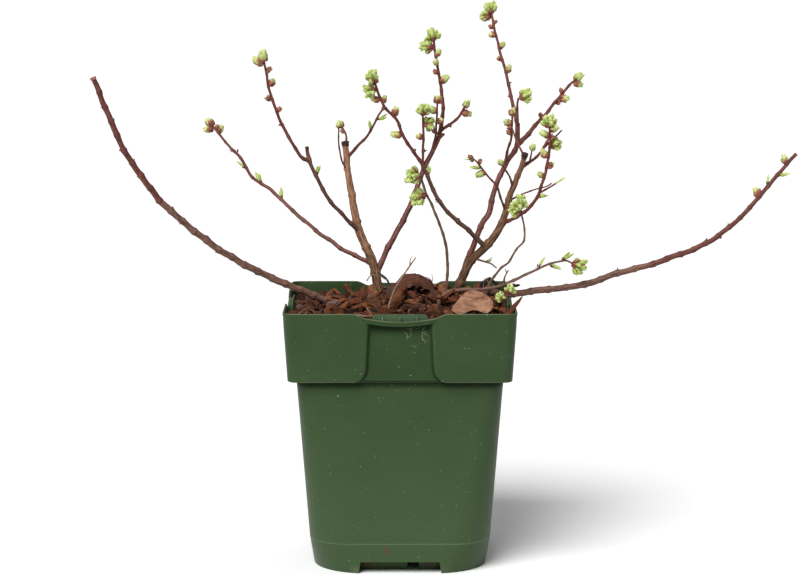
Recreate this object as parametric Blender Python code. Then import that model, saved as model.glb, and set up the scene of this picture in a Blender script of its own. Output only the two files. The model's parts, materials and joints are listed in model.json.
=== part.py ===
"""A young blueberry bush in a square nursery pot, at bud break in early spring.

The centre of the pot's underside is the origin, the front of the pot faces -Y and +X is to the right.
The bush has two stools of old wood at the middle of the pot and two long low canes that arch out to
either side. Stems are described as runs of growth: a length in millimetres, a rise from level and a
compass heading in degrees, where 0 is to the right, 90 to the back and 180 to the left.
"""

import math
import random

import bmesh
import bpy
from mathutils import Matrix, Vector

MM = 0.001
GAP = 0.3 * MM  # clearance between pieces that touch
CUT_PAST = 5 * MM  # how far a cutter runs past the surface that it cuts

# The pot: a 19 cm square container with a stepped collar.
POT_HEIGHT = 220 * MM
WALL = 1.6 * MM
COLLAR_FOOT = 163.1 * MM
BODY_TOP = 162.8 * MM
HALF_AT_RIM = 94.9 * MM
HALF_AT_COLLAR_FOOT = 91.2 * MM
HALF_AT_BODY_TOP = 84.4 * MM
HALF_AT_STEP = 75.1 * MM
HALF_AT_GROUND = 72 * MM
STEP_HEIGHT = 25.5 * MM
CORNER_AT_RIM = 9 * MM
CORNER_AT_BODY_TOP = 13 * MM
CORNER_AT_STEP = 33 * MM
CORNER_AT_GROUND = 45 * MM
CORNER_STEPS = 4

# The middle of each side of the collar is set back between two corner panels, and the rim dips there.
RECESS_DEPTH = 4 * MM
RECESS_HALF_AT_RIM = 25.4 * MM
RECESS_HALF_AT_FOOT = 28.5 * MM
PANEL_CORNER = 10 * MM
DIP_HALF = 38 * MM
DIP_SHOULDER = 3.8 * MM
LIP_FOOT = 212 * MM
LIP_SAG = 2.6 * MM
LIP_HALF = 27 * MM
LIP_PROUD = 3.6 * MM
TAB_HALF = 22.4 * MM
TAB_FOOT = 208 * MM
TAB_TOP = 219 * MM
TAB_CORNER = 3 * MM
TAB_THICKNESS = 0.9 * MM
TAB_RIB_SPACING = 14 * MM
TAB_RIB_HALF = 0.5 * MM
TAB_RIB_FOOT = 209.6 * MM
TAB_RIB_TOP = 215.6 * MM

# The foot of the pot: an outer ring with a drainage notch in each side, and four pads inside it.
FLOOR_UNDERSIDE = 10 * MM
FLOOR_TOP = 12 * MM
RING_THICKNESS = 3.5 * MM
NOTCH_HALF = 32.5 * MM
NOTCH_DRAFT = 2.5 * MM
NOTCH_DEPTH = 12 * MM
PAD_SETBACK = 10 * MM
CHANNEL_CENTRE = 11 * MM
CHANNEL_HALF = 6 * MM
CHANNEL_DRAFT = 2 * MM
DRAIN_HOLE_RADIUS = 3.5 * MM
DRAIN_HOLE_PLACE = 50 * MM  # along its channel, from the middle of the pot

# What fills the pot.
MIX_TOP = 200 * MM
BARK_GRID = 12
BARK_EDGE_LEVEL = 211 * MM
BARK_MOUND = 13 * MM
MOUND_CENTRE = (12 * MM, 5 * MM)
MOUND_SPREAD = (62 * MM, 52 * MM)
BARK_ROUGHNESS = (-3 * MM, 1.5 * MM)
CHIP_COUNT = 26
CHIP_REACH = 72 * MM
CHIP_LENGTH = (12 * MM, 24 * MM)
CHIP_WIDTH = (8 * MM, 14 * MM)
CHIP_THICKNESS = (3 * MM, 6 * MM)
CHIP_LEAN = 0.35

# Stems.
SAMPLE = 17 * MM  # spacing of the rings along a stem
BURIED = 14 * MM  # how far a stem runs on below its foot before it is cut level
OLD_WOOD = ("old_wood", (0.20, 0.12, 0.07), 0.8)
NEW_WOOD = ("new_wood", (0.17, 0.05, 0.045), 0.6)
DRY_WOOD = ("dry_wood", (0.36, 0.25, 0.16), 0.8)
SHARP_ANGLE = math.radians(40)

# Length and width in millimetres of each kind of bud.
BUD_SIZES = {"F": (9.5, 6.4), "f": (7.4, 5), "b": (5, 3.6), "l": (10, 3.4), "s": (3, 2.4)}
# How far each kind leans out from its stem, in degrees, where it isn't at the tip.
BUD_LEAN = {"O": 70, "F": 62, "f": 50, "b": 48, "l": 38, "s": 48}
LEAF_THICKNESS = 1.1 * MM
CLUSTER_BASE = (7 * MM, 5 * MM)
CLUSTER_LOBES = 4
CLUSTER_SPREAD = 0.62
LOBE_FOOT = 3.5 * MM
LOBE_SIZE = (8.6 * MM, 5 * MM, 4.2 * MM)


def clear_scene():
    for obj in list(bpy.data.objects):
        bpy.data.objects.remove(obj, do_unlink=True)


def make_collection(name):
    collection = bpy.data.collections.new(name)
    bpy.context.scene.collection.children.link(collection)
    return collection


def material(name, colour, roughness):
    found = bpy.data.materials.get(name)
    if found:
        return found
    made = bpy.data.materials.new(name)
    made.use_nodes = True
    shader = made.node_tree.nodes["Principled BSDF"]
    shader.inputs["Base Color"].default_value = (*colour, 1)
    shader.inputs["Roughness"].default_value = roughness
    return made


def object_from(mesh_builder, name, collection):
    mesh = bpy.data.meshes.new(name)
    bmesh.ops.recalc_face_normals(mesh_builder, faces=mesh_builder.faces)
    mesh_builder.to_mesh(mesh)
    mesh_builder.free()
    obj = bpy.data.objects.new(name, mesh)
    collection.objects.link(obj)
    return obj


def combine(obj, others, operation, solver="EXACT"):
    """Joins or cuts obj by the other pieces, applies the result and removes those pieces."""
    helpers = bpy.data.collections.new("helpers")
    bpy.context.scene.collection.children.link(helpers)
    for other in others:
        for owner in list(other.users_collection):
            owner.objects.unlink(other)
        helpers.objects.link(other)
    modifier = obj.modifiers.new("combine", "BOOLEAN")
    modifier.operation = operation
    modifier.operand_type = "COLLECTION"
    modifier.collection = helpers
    modifier.solver = solver
    graph = bpy.context.evaluated_depsgraph_get()
    mesh = bpy.data.meshes.new_from_object(obj.evaluated_get(graph))
    obj.modifiers.remove(modifier)
    obj.data = mesh
    for other in others:
        bpy.data.objects.remove(other, do_unlink=True)
    bpy.data.collections.remove(helpers)
    return obj


def keep_largest(obj):
    """Drops any scrap that a cut left loose from the body."""
    body = bmesh.new()
    body.from_mesh(obj.data)
    left = set(body.verts)
    islands = []
    while left:
        island = [left.pop()]
        for vertex in island:
            near = {edge.other_vert(vertex) for edge in vertex.link_edges} & left
            left -= near
            island += near
        islands.append(island)
    islands.sort(key=len)
    for scrap in islands[:-1]:
        bmesh.ops.delete(body, geom=scrap, context="VERTS")
    body.to_mesh(obj.data)
    body.free()


def tapered_block(name, low, high, draft, collection):
    """A box from its lowest to its highest corner, narrower at the top by the draft on all four sides."""
    block = bmesh.new()
    bmesh.ops.create_cube(block, size=1)
    size = Vector(high) - Vector(low)
    middle = (Vector(high) + Vector(low)) / 2
    for vertex in block.verts:
        inward = draft if vertex.co.z > 0 else 0
        vertex.co.x *= size.x - 2 * inward
        vertex.co.y *= size.y - 2 * inward
        vertex.co.z *= size.z
        vertex.co += middle
    return object_from(block, name, collection)


def blend(value, low, high, at_low, at_high):
    return at_low + (at_high - at_low) * (value - low) / (high - low)


def pot_half(z):
    """Half the pot's outer width at a height: foot, body and collar are three straight tapers."""
    if z >= COLLAR_FOOT:
        return blend(z, COLLAR_FOOT, POT_HEIGHT, HALF_AT_COLLAR_FOOT, HALF_AT_RIM)
    if z >= STEP_HEIGHT:
        return blend(z, STEP_HEIGHT, BODY_TOP, HALF_AT_STEP, HALF_AT_BODY_TOP)
    return blend(z, 0, STEP_HEIGHT, HALF_AT_GROUND, HALF_AT_STEP)


def pot_corner(z):
    if z >= COLLAR_FOOT:
        return CORNER_AT_RIM
    if z >= STEP_HEIGHT:
        return blend(z, STEP_HEIGHT, BODY_TOP, CORNER_AT_STEP, CORNER_AT_BODY_TOP)
    return blend(z, 0, STEP_HEIGHT, CORNER_AT_GROUND, CORNER_AT_STEP)


def recess_half(z):
    """Half the width between the corner panels, whose lower inner corners are rounded."""
    half = blend(z, COLLAR_FOOT, POT_HEIGHT, RECESS_HALF_AT_FOOT, RECESS_HALF_AT_RIM)
    below = COLLAR_FOOT + PANEL_CORNER - z
    if below > 0:
        half += PANEL_CORNER - math.sqrt(max(0, PANEL_CORNER**2 - below**2))
    return half


def lip_sag(x):
    return LIP_SAG * max(0, 1 - (x / LIP_HALF) ** 2)


def rim_dip(x):
    """How far the rim drops: a slope on either side of the lip, then the lip's own sag."""
    share = min(1, max(0, (DIP_HALF - abs(x)) / (DIP_HALF - LIP_HALF)))
    return DIP_SHOULDER * share + lip_sag(x)


def section(form_z, z, inward=0, recess=0.0, drop=None):
    """One closed ring round the pot, whose form is that at form_z, set inward and dropped along each side."""
    half = pot_half(form_z) - inward
    corner = max(2 * MM, pot_corner(form_z) - inward)
    straight = half - corner
    shoulder = min(DIP_HALF, straight - 0.5 * MM)
    edge = shoulder - MM
    if recess:
        edge = min(edge, recess_half(form_z) + inward)
    side = []
    for step in range(CORNER_STEPS + 1):
        turn = math.radians(180 + 90 * step / CORNER_STEPS)
        side.append((-straight + corner * math.cos(turn), -straight + corner * math.sin(turn)))
    side += [(-shoulder, -half), (-edge, -half)]
    inner_edge = edge - 0.6 * MM
    side += [(x, -half + recess) for x in (-inner_edge, -inner_edge / 2, 0, inner_edge / 2, inner_edge)]
    side += [(edge, -half), (shoulder, -half)]
    ring = []
    for quarter in range(4):
        turn = Matrix.Rotation(math.radians(90 * quarter), 3, "Z")
        for x, y in side:
            ring.append(turn @ Vector((x, y, z - (drop(x) if drop else 0))))
    return ring


def loft(name, rings, collection):
    """A closed solid through rings that all have the same number of points."""
    skin = bmesh.new()
    loops = [[skin.verts.new(point) for point in ring] for ring in rings]
    count = len(rings[0])
    for lower, upper in zip(loops, loops[1:]):
        for i in range(count):
            j = (i + 1) % count
            skin.faces.new((lower[i], lower[j], upper[j], upper[i]))
    skin.faces.new(reversed(loops[0]))
    skin.faces.new(loops[-1])
    return object_from(skin, name, collection)


def collar_rings(inward, lift):
    """The collar's rings from its foot up to just under the lip."""
    rings = [section(COLLAR_FOOT, COLLAR_FOOT + lift, inward, HALF_AT_COLLAR_FOOT - HALF_AT_BODY_TOP)]
    for rise in (1.2, 4, 10):
        z = COLLAR_FOOT + rise * MM
        rings.append(section(z, z + lift, inward, RECESS_DEPTH))
    return rings


def pot_shell(collection):
    """The thin wall in one loft: up the outside, over the rim and down the inside to the floor."""
    lip_recess = RECESS_DEPTH - LIP_PROUD
    rings = [section(0, 0), section(STEP_HEIGHT, STEP_HEIGHT), section(BODY_TOP, BODY_TOP)]
    rings += collar_rings(0, 0)
    rings.append(section(LIP_FOOT, LIP_FOOT, 0, RECESS_DEPTH, lip_sag))
    rings.append(section(LIP_FOOT, LIP_FOOT + 0.3 * MM, 0, lip_recess, lip_sag))
    rings.append(section(POT_HEIGHT, POT_HEIGHT, 0, lip_recess, rim_dip))
    rings.append(section(POT_HEIGHT, POT_HEIGHT, WALL, lip_recess, rim_dip))
    gutter = LIP_FOOT + WALL
    rings.append(section(LIP_FOOT, gutter, WALL, lip_recess, lip_sag))
    rings.append(section(LIP_FOOT, gutter - 0.3 * MM, WALL, RECESS_DEPTH, lip_sag))
    rings += reversed(collar_rings(WALL, WALL))
    rings.append(section(BODY_TOP, BODY_TOP + WALL, WALL))
    rings.append(section(STEP_HEIGHT, STEP_HEIGHT, WALL))
    rings.append(section(FLOOR_TOP, FLOOR_TOP, WALL))
    return loft("pot", rings, collection)


def foot_pads(collection):
    """The raised pads under the floor, parted by two channels that drain to the notches."""
    bottom = section(0, 0, RING_THICKNESS + PAD_SETBACK)
    top = section(FLOOR_UNDERSIDE, FLOOR_UNDERSIDE + GAP, RING_THICKNESS + PAD_SETBACK)
    pads = loft("pads", [bottom, top], collection)
    reach = HALF_AT_STEP
    low, high = CHANNEL_CENTRE - CHANNEL_HALF, CHANNEL_CENTRE + CHANNEL_HALF
    roof = FLOOR_UNDERSIDE + 3 * GAP
    along_y = (low, -reach, -CUT_PAST), (high, reach, roof)
    along_x = (-reach, low, -CUT_PAST), (reach, high, roof)
    channels = [tapered_block("channel", *ends, CHANNEL_DRAFT, collection) for ends in (along_y, along_x)]
    return combine(pads, channels, "DIFFERENCE", "MANIFOLD")


def label_tab(quarter, collection):
    """The upright tab behind the dip of one side's rim, tied to the lip by three small ribs."""
    front = RECESS_DEPTH + 0.1 * MM - pot_half(TAB_FOOT)
    tab = bmesh.new()
    bmesh.ops.create_cube(tab, size=1)
    for vertex in tab.verts:
        vertex.co.x *= 2 * TAB_HALF
        vertex.co.y = front if vertex.co.y < 0 else front + TAB_THICKNESS
        vertex.co.z = TAB_TOP if vertex.co.z > 0 else TAB_FOOT
    top_edges = [edge for edge in tab.edges if min(vertex.co.z for vertex in edge.verts) > TAB_FOOT + MM]
    corners = [edge for edge in top_edges if edge.verts[0].co.x == edge.verts[1].co.x]
    bmesh.ops.bevel(tab, geom=corners, offset=TAB_CORNER, segments=3, profile=0.5, affect="EDGES")
    pieces = [object_from(tab, "tab", collection)]
    in_lip = RECESS_DEPTH - LIP_PROUD + WALL / 2 - pot_half(LIP_FOOT)
    for place in (-TAB_RIB_SPACING, 0, TAB_RIB_SPACING):
        low = (place - TAB_RIB_HALF, in_lip, TAB_RIB_FOOT)
        high = (place + TAB_RIB_HALF, front + TAB_THICKNESS / 2, TAB_RIB_TOP)
        pieces.append(tapered_block("rib", low, high, 0, collection))
    for piece in pieces:
        piece.data.transform(Matrix.Rotation(math.radians(90 * quarter), 4, "Z"))
    return pieces


def make_pot(parts, cutters):
    pot = pot_shell(parts)
    pocket_rings = [
        section(0, -CUT_PAST, RING_THICKNESS),
        section(FLOOR_UNDERSIDE, FLOOR_UNDERSIDE, RING_THICKNESS),
    ]
    cuts = [loft("pocket", pocket_rings, cutters)]
    for quarter in range(4):
        turn = Matrix.Rotation(math.radians(90 * quarter), 4, "Z")
        low = (-NOTCH_HALF - NOTCH_DRAFT, -HALF_AT_STEP - CUT_PAST, -CUT_PAST)
        high = (NOTCH_HALF + NOTCH_DRAFT, -HALF_AT_GROUND + NOTCH_DEPTH, FLOOR_UNDERSIDE)
        notch = tapered_block("notch", low, high, NOTCH_DRAFT, cutters)
        notch.data.transform(turn)
        cuts.append(notch)
        hole = bmesh.new()
        bmesh.ops.create_cone(hole, cap_ends=True, segments=8, radius1=1, radius2=1, depth=1)
        bmesh.ops.scale(hole, vec=(DRAIN_HOLE_RADIUS, DRAIN_HOLE_RADIUS, 4 * MM), verts=hole.verts)
        spot = turn @ Vector((DRAIN_HOLE_PLACE, 0, (FLOOR_TOP + FLOOR_UNDERSIDE) / 2))
        spot += Vector((CHANNEL_CENTRE, 0, 0)) if quarter % 2 else Vector((0, CHANNEL_CENTRE, 0))
        bmesh.ops.translate(hole, verts=hole.verts, vec=spot)
        cuts.append(object_from(hole, "drain_hole", cutters))
    combine(pot, cuts, "DIFFERENCE", "MANIFOLD")
    additions = [foot_pads(cutters)]
    for quarter in range(4):
        additions += label_tab(quarter, cutters)
    combine(pot, additions, "UNION", "MANIFOLD")
    pot.data.materials.clear()
    pot.data.materials.append(material("pot_plastic", (0.045, 0.09, 0.035), 0.5))
    return pot


def make_potting_mix(parts):
    """Peat that fills the pot from its floor to below the bark."""
    inward = WALL + GAP
    above = WALL + 3 * GAP
    rings = [
        section(FLOOR_TOP, FLOOR_TOP + GAP, inward),
        section(STEP_HEIGHT, STEP_HEIGHT, inward),
        section(BODY_TOP, BODY_TOP + above, inward),
    ]
    rings += collar_rings(inward, above)
    rings.append(section(MIX_TOP, MIX_TOP, inward, RECESS_DEPTH))
    mix = loft("potting_mix", rings, parts)
    mix.data.materials.append(material("potting_mix", (0.03, 0.02, 0.013), 0.95))
    return mix


def bark_level(x, y):
    """The surface of the mulch, mounded round the two stools."""
    across = (x - MOUND_CENTRE[0]) / MOUND_SPREAD[0]
    back = (y - MOUND_CENTRE[1]) / MOUND_SPREAD[1]
    return BARK_EDGE_LEVEL + BARK_MOUND * math.exp(-across * across - back * back)


def make_bark(parts, cutters, stems):
    """A layer of pine bark chips: a lumpy bed with the larger chips standing out of it."""
    rng = random.Random(11)
    reach = HALF_AT_RIM + CUT_PAST
    bed = bmesh.new()
    bmesh.ops.create_grid(bed, x_segments=BARK_GRID, y_segments=BARK_GRID, size=reach)
    top = bed.verts[:]
    made = bmesh.ops.extrude_face_region(bed, geom=bed.faces[:])
    for vertex in [item for item in made["geom"] if isinstance(item, bmesh.types.BMVert)]:
        vertex.co.z = bark_level(vertex.co.x, vertex.co.y) + rng.uniform(*BARK_ROUGHNESS)
    for vertex in top:
        vertex.co.z = MIX_TOP - CUT_PAST
    bark = object_from(bed, "bark_mulch", parts)
    chips = []
    for _ in range(CHIP_COUNT):
        x, y = rng.uniform(-CHIP_REACH, CHIP_REACH), rng.uniform(-CHIP_REACH, CHIP_REACH)
        chip = bmesh.new()
        bmesh.ops.create_cube(chip, size=1)
        size = [rng.uniform(*limits) for limits in (CHIP_LENGTH, CHIP_WIDTH, CHIP_THICKNESS)]
        bmesh.ops.scale(chip, vec=size, verts=chip.verts)
        turn = Matrix.Rotation(rng.uniform(0, 2 * math.pi), 4, "Z")
        turn @= Matrix.Rotation(rng.gauss(0, CHIP_LEAN), 4, "X")
        turn @= Matrix.Rotation(rng.gauss(0, CHIP_LEAN), 4, "Y")
        place = Matrix.Translation((x, y, bark_level(x, y) + rng.uniform(-1, 1) * MM))
        bmesh.ops.transform(chip, matrix=place @ turn, verts=chip.verts)
        chips.append(object_from(chip, "chip", cutters))
    combine(bark, chips, "UNION", "MANIFOLD")
    inward = WALL + 1.3 * GAP
    mould_rings = [section(z, z, inward, RECESS_DEPTH) for z in (MIX_TOP + GAP, POT_HEIGHT + 3 * CUT_PAST)]
    combine(bark, [loft("mould", mould_rings, cutters)], "INTERSECT", "MANIFOLD")
    holes = [stem.tube(cutters, extra=1.3 * GAP, buried=True) for stem in stems]
    combine(bark, holes, "DIFFERENCE", "MANIFOLD")
    keep_largest(bark)
    bark.data.materials.clear()
    bark.data.materials.append(material("pine_bark", (0.17, 0.06, 0.03), 0.85))
    return bark


def smooth_path(corners):
    """Points about SAMPLE apart on a curve through the corners of a stem."""
    ends = [2 * corners[0] - corners[1], *corners, 2 * corners[-1] - corners[-2]]
    points = [corners[0]]
    for before, start, stop, after in zip(ends, ends[1:], ends[2:], ends[3:]):
        count = max(1, round((stop - start).length / SAMPLE))
        for step in range(1, count + 1):
            t = step / count
            bend = (stop - before) * t + (2 * before - 5 * start + 4 * stop - after) * t**2
            bend += (3 * start - before - 3 * stop + after) * t**3
            points.append(start + bend / 2)
    return points


class Stem:
    """One tapering shoot with its buds, listed from the tip down at even internodes.

    A bud is a kind (O open cluster, F fat, f small fat, b brown, l leaf, s scar) and the side that it
    stands on, seen from the front: L, R, F or B. Buds at one node are joined by +, and . is a bare node.
    """

    def __init__(self, start, runs, diameter, sides=1, buds="", internode=10):
        corners = [Vector(start)]
        for length, rise, heading in runs:
            rise, heading = math.radians(rise), math.radians(heading)
            level = math.cos(rise)
            step = Vector((level * math.cos(heading), level * math.sin(heading), math.sin(rise)))
            corners.append(corners[-1] + step * length * MM)
        self.points = smooth_path(corners)
        self.diameter = (diameter[0] * MM, diameter[1] * MM)
        self.sides = sides
        self.buds = buds.split()
        self.internode = internode * MM
        self.length = sum((b - a).length for a, b in zip(self.points, self.points[1:]))

    def radius(self, along):
        return (self.diameter[0] + (self.diameter[1] - self.diameter[0]) * along / self.length) / 2

    def at(self, along):
        """The point and the direction at a distance from the foot."""
        for start, stop in zip(self.points, self.points[1:]):
            step = stop - start
            if along <= step.length or stop is self.points[-1]:
                return start + step.normalized() * along, step.normalized()
            along -= step.length

    def tube(self, collection, extra=0.0, buried=False):
        """The stem as a closed mesh, fatter and longer by extra, and run on below its foot where buried."""
        points = list(self.points)
        radii = []
        along = 0
        for index, point in enumerate(points):
            along += (point - points[index - 1]).length if index else 0
            radii.append(self.radius(along) + extra)
        points[-1] = points[-1] + (points[-1] - points[-2]).normalized() * extra
        if buried:
            points.insert(0, points[0] - (points[1] - points[0]).normalized() * BURIED)
            radii.insert(0, radii[0])
        curve = bpy.data.curves.new("stem", "CURVE")
        curve.dimensions = "3D"
        curve.bevel_depth = 1
        curve.bevel_resolution = self.sides
        curve.use_fill_caps = True
        spline = curve.splines.new("POLY")
        spline.points.add(len(points) - 1)
        for knot, point, radius in zip(spline.points, points, radii):
            knot.co = (*point, 1)
            knot.radius = radius
        guide = bpy.data.objects.new("stem", curve)
        collection.objects.link(guide)
        graph = bpy.context.evaluated_depsgraph_get()
        mesh = bpy.data.meshes.new_from_object(guide.evaluated_get(graph))
        bpy.data.objects.remove(guide, do_unlink=True)
        tube = bmesh.new()
        tube.from_mesh(mesh)
        bmesh.ops.remove_doubles(tube, verts=tube.verts, dist=0.01 * MM)
        return object_from(tube, "stem", collection)

    def bud_objects(self, rng, collection):
        """Every bud of the stem as a closed mesh of its own."""
        sides = {"R": 0, "B": 90, "L": 180, "F": 270}
        pieces = []
        for node, row in enumerate(self.buds):
            if row == ".":
                continue
            along = self.length - node * self.internode
            point, direction = self.at(along)
            right = Vector((0, 1, 0)).cross(direction).normalized()
            back = direction.cross(right)
            for bud in row.split("+"):
                lean, outward = direction, Vector((0, 0, 0))
                if len(bud) > 1:
                    turn = math.radians(sides[bud[1]] + rng.uniform(-30, 30))
                    outward = right * math.cos(turn) + back * math.sin(turn)
                    tilt = math.radians(BUD_LEAN[bud[0]])
                    lean = direction * math.cos(tilt) + outward * math.sin(tilt)
                root = point + outward * self.radius(along) * 0.5
                pieces += make_bud(bud[0], root, lean, rng, collection)
        return pieces


def lobe(root, direction, size, faces, collection):
    """A lump of a length, width and thickness from root along direction, with 8 faces or with 20."""
    length, width, thickness = size
    lump = bmesh.new()
    if faces == 20:
        bmesh.ops.create_icosphere(lump, subdivisions=1, radius=0.5)
    else:
        bmesh.ops.create_uvsphere(lump, u_segments=4, v_segments=2, radius=0.5)
    bmesh.ops.scale(lump, vec=(width, thickness, length * 1.1), verts=lump.verts)
    turn = direction.to_track_quat("Z", "Y").to_matrix().to_4x4()
    place = Matrix.Translation(root + direction * length * 0.45)
    bmesh.ops.transform(lump, matrix=place @ turn, verts=lump.verts)
    return object_from(lump, "bud", collection)


def make_bud(kind, root, direction, rng, collection):
    if kind != "O":
        length, width = (size * MM for size in BUD_SIZES[kind])
        if kind == "l":
            return [lobe(root, direction, (length, width, LEAF_THICKNESS), 8, collection)]
        return [lobe(root, direction, (length, width, width), 20 if kind in "Ff" else 8, collection)]
    length, width = CLUSTER_BASE
    pieces = [lobe(root, direction, (length, width, width), 20, collection)]
    side = direction.orthogonal().normalized()
    start = rng.uniform(0, 2 * math.pi)
    for index in range(CLUSTER_LOBES):
        around = Matrix.Rotation(start + index * 2 * math.pi / CLUSTER_LOBES, 3, direction) @ side
        lean = (direction + around * CLUSTER_SPREAD).normalized()
        pieces.append(lobe(root + direction * LOBE_FOOT, lean, LOBE_SIZE, 8, collection))
    return pieces


class Bush:
    """The stems, by the node that each belongs to, and what each node is cut clear of."""

    def __init__(self):
        self.nodes = {}
        self.rooted = []

    def add(self, node, stem, wood, parent=None):
        entry = self.nodes.setdefault(node, {"stems": [], "clear_of": [], "wood": wood})
        if parent and parent not in entry["stems"]:
            entry["clear_of"].append(parent)
        entry["stems"].append(stem)
        return stem

    def root(self, node, foot, runs, diameter, wood=NEW_WOOD, **more):
        """A stem that stands on the potting mix, its foot at the given place in millimetres."""
        start = (foot[0] * MM, foot[1] * MM, MIX_TOP + GAP)
        stem = self.add(node, Stem(start, runs, diameter, **more), wood)
        self.rooted.append(stem)
        return stem

    def branch(self, node, parent, at, runs, diameter, wood=NEW_WOOD, **more):
        """A side shoot that leaves its parent at a distance in millimetres from the parent's foot."""
        start, _ = parent.at(at * MM)
        return self.add(node, Stem(start, runs, diameter, **more), wood, parent)

    def extend(self, node, parent, runs, diameter, wood=NEW_WOOD, **more):
        """The next length of a long limb, which meets the one below it end to end."""
        start, direction = parent.at(parent.length)
        return self.add(node, Stem(start + direction * 2 * GAP, runs, diameter, **more), wood, parent)

    def build(self, parts, cutters):
        rng = random.Random(5)
        for name, entry in self.nodes.items():
            pieces = [stem.tube(cutters, buried=stem in self.rooted) for stem in entry["stems"]]
            for stem in entry["stems"]:
                pieces += stem.bud_objects(rng, cutters)
            body, *others = pieces
            for owner in list(body.users_collection):
                owner.objects.unlink(body)
            parts.objects.link(body)
            body.name = name
            if others:
                combine(body, others, "UNION", "MANIFOLD")
            cuts = [parent.tube(cutters, extra=GAP) for parent in entry["clear_of"]]
            if any(stem in self.rooted for stem in entry["stems"]):
                low = (-POT_HEIGHT, -POT_HEIGHT, MIX_TOP - 2 * BURIED)
                high = (POT_HEIGHT, POT_HEIGHT, MIX_TOP + GAP)
                cuts.append(tapered_block("ground", low, high, 0, cutters))
            if cuts:
                combine(body, cuts, "DIFFERENCE", "MANIFOLD")
                keep_largest(body)
            body.data.materials.clear()
            body.data.materials.append(material(*entry["wood"]))


def grow_canes(bush):
    """The two long canes that lie low over the rim and arch up at their ends."""
    low = [(35, 26, -174), (29, 23, -171), (48, 27, -168), (41, 35, -166), (44, 42, -166)]
    left = bush.root(
        "cane_left", (-36, 24), low, (6.2, 5.4), OLD_WOOD, sides=2,
        buds=". sR sL . sR sL sR . sL", internode=13,
    )
    high = [(31, 55, -164), (21, 57, -160), (24, 66, -155), (41, 68, -161)]
    bush.extend("cane_left_end", left, high, (5.4, 4.4), sides=2, buds=". sR sL sR . sL sR sL", internode=13)

    low = [(27, 66, 16), (31, -1, 13), (61, 6, 8), (30, 17, 8), (31, 13, 8)]
    right = bush.root(
        "cane_right", (52, -22), low, (6, 5), OLD_WOOD, sides=2, buds=". . sL . sR . sL", internode=15
    )
    high = [(52, 21, 7), (42, 38, 10), (34, 49, 10), (29, 47, 12)]
    bush.extend(
        "cane_right_end", right, high, (5, 3), buds=". FL lR lL FL . sR sL sR sL . sR", internode=12
    )


def grow_left_stool(bush):
    """The left stool: a cut back trunk, two long boughs to the left and one to the right."""
    rise = [(47, 78, 174), (30, 65, 161), (30, 74, 132), (19, 73, 132), (28, 77, 112)]
    trunk = bush.root("trunk_left", (-13, 11), rise, (8.6, 5), OLD_WOOD, sides=2)
    top = "twigs_left_top"
    reach = [(17, 45, -20), (12, 47, -22), (20, 57, -35), (6, 54, -32)]
    bush.branch(top + "_a", trunk, 140, reach, (2.8, 1.6), buds="b lR lL", internode=11)
    bush.branch(top + "_b", trunk, 145, [(15, 67, 88), (9, 60, 154)], (1.8, 1.5), buds="f bL", internode=6)
    bush.branch(top + "_c", trunk, 128, [(18, 63, -143), (26, 67, -93)], (1.5, 1.2), buds="f")

    reach = [(25, 41, -139), (20, 46, -145), (37, 57, -136)]
    middle = bush.branch("bough_left_mid", trunk, 77, reach, (3.6, 3), buds=". lR", internode=14)
    reach = [(11, 35, -158), (24, 60, -158), (25, 64, -146), (25, 74, -141), (12, 76, -131)]
    bush.extend("twigs_left_mid", middle, reach, (3, 2), buds="F+FL bR fR bL bR sL", internode=11.5)

    reach = [(35, 22, 157), (39, 31, 151), (42, 37, 151)]
    low = bush.branch("bough_left_low", trunk, 47, reach, (3.8, 3), buds=". lR", internode=14)
    reach = [(20, 27, 154), (17, 58, 153), (18, 42, 154), (24, 46, 157)]
    bush.extend("twigs_left_low", low, reach, (3, 2), buds="F+FL+bR fR . sL+sR . lL . lR", internode=10)

    reach = [(28, 58, 38), (35, 57, 31), (35, 63, 40), (32, 62, 28)]
    centre = bush.branch("bough_centre", trunk, 38, reach, (5, 4.2), sides=2)
    twigs = "twigs_centre"
    reach = [(23, 74, 56), (26, 81, 131), (17, 77, 150), (18, 80, 139)]
    leader = bush.extend(twigs, centre, reach, (3.4, 2), buds="O OL fR fF bL FR", internode=7.4)
    bush.branch(twigs, leader, 5, [(20, 36, -22), (13, 55, -33)], (2.6, 2), buds="F FR . sR", internode=8)
    reach = [(28, 80, -83), (24, 81, -95)]
    bush.branch(twigs + "_left", centre, 96, reach, (2.4, 1.8), buds="O OR fL sR", internode=11)
    reach = [(19, 74, -40), (26, 85, -60)]
    bush.branch(twigs + "_front", centre, 115, reach, (2, 1.6), buds="F FL fR bL . sR", internode=9)


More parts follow.
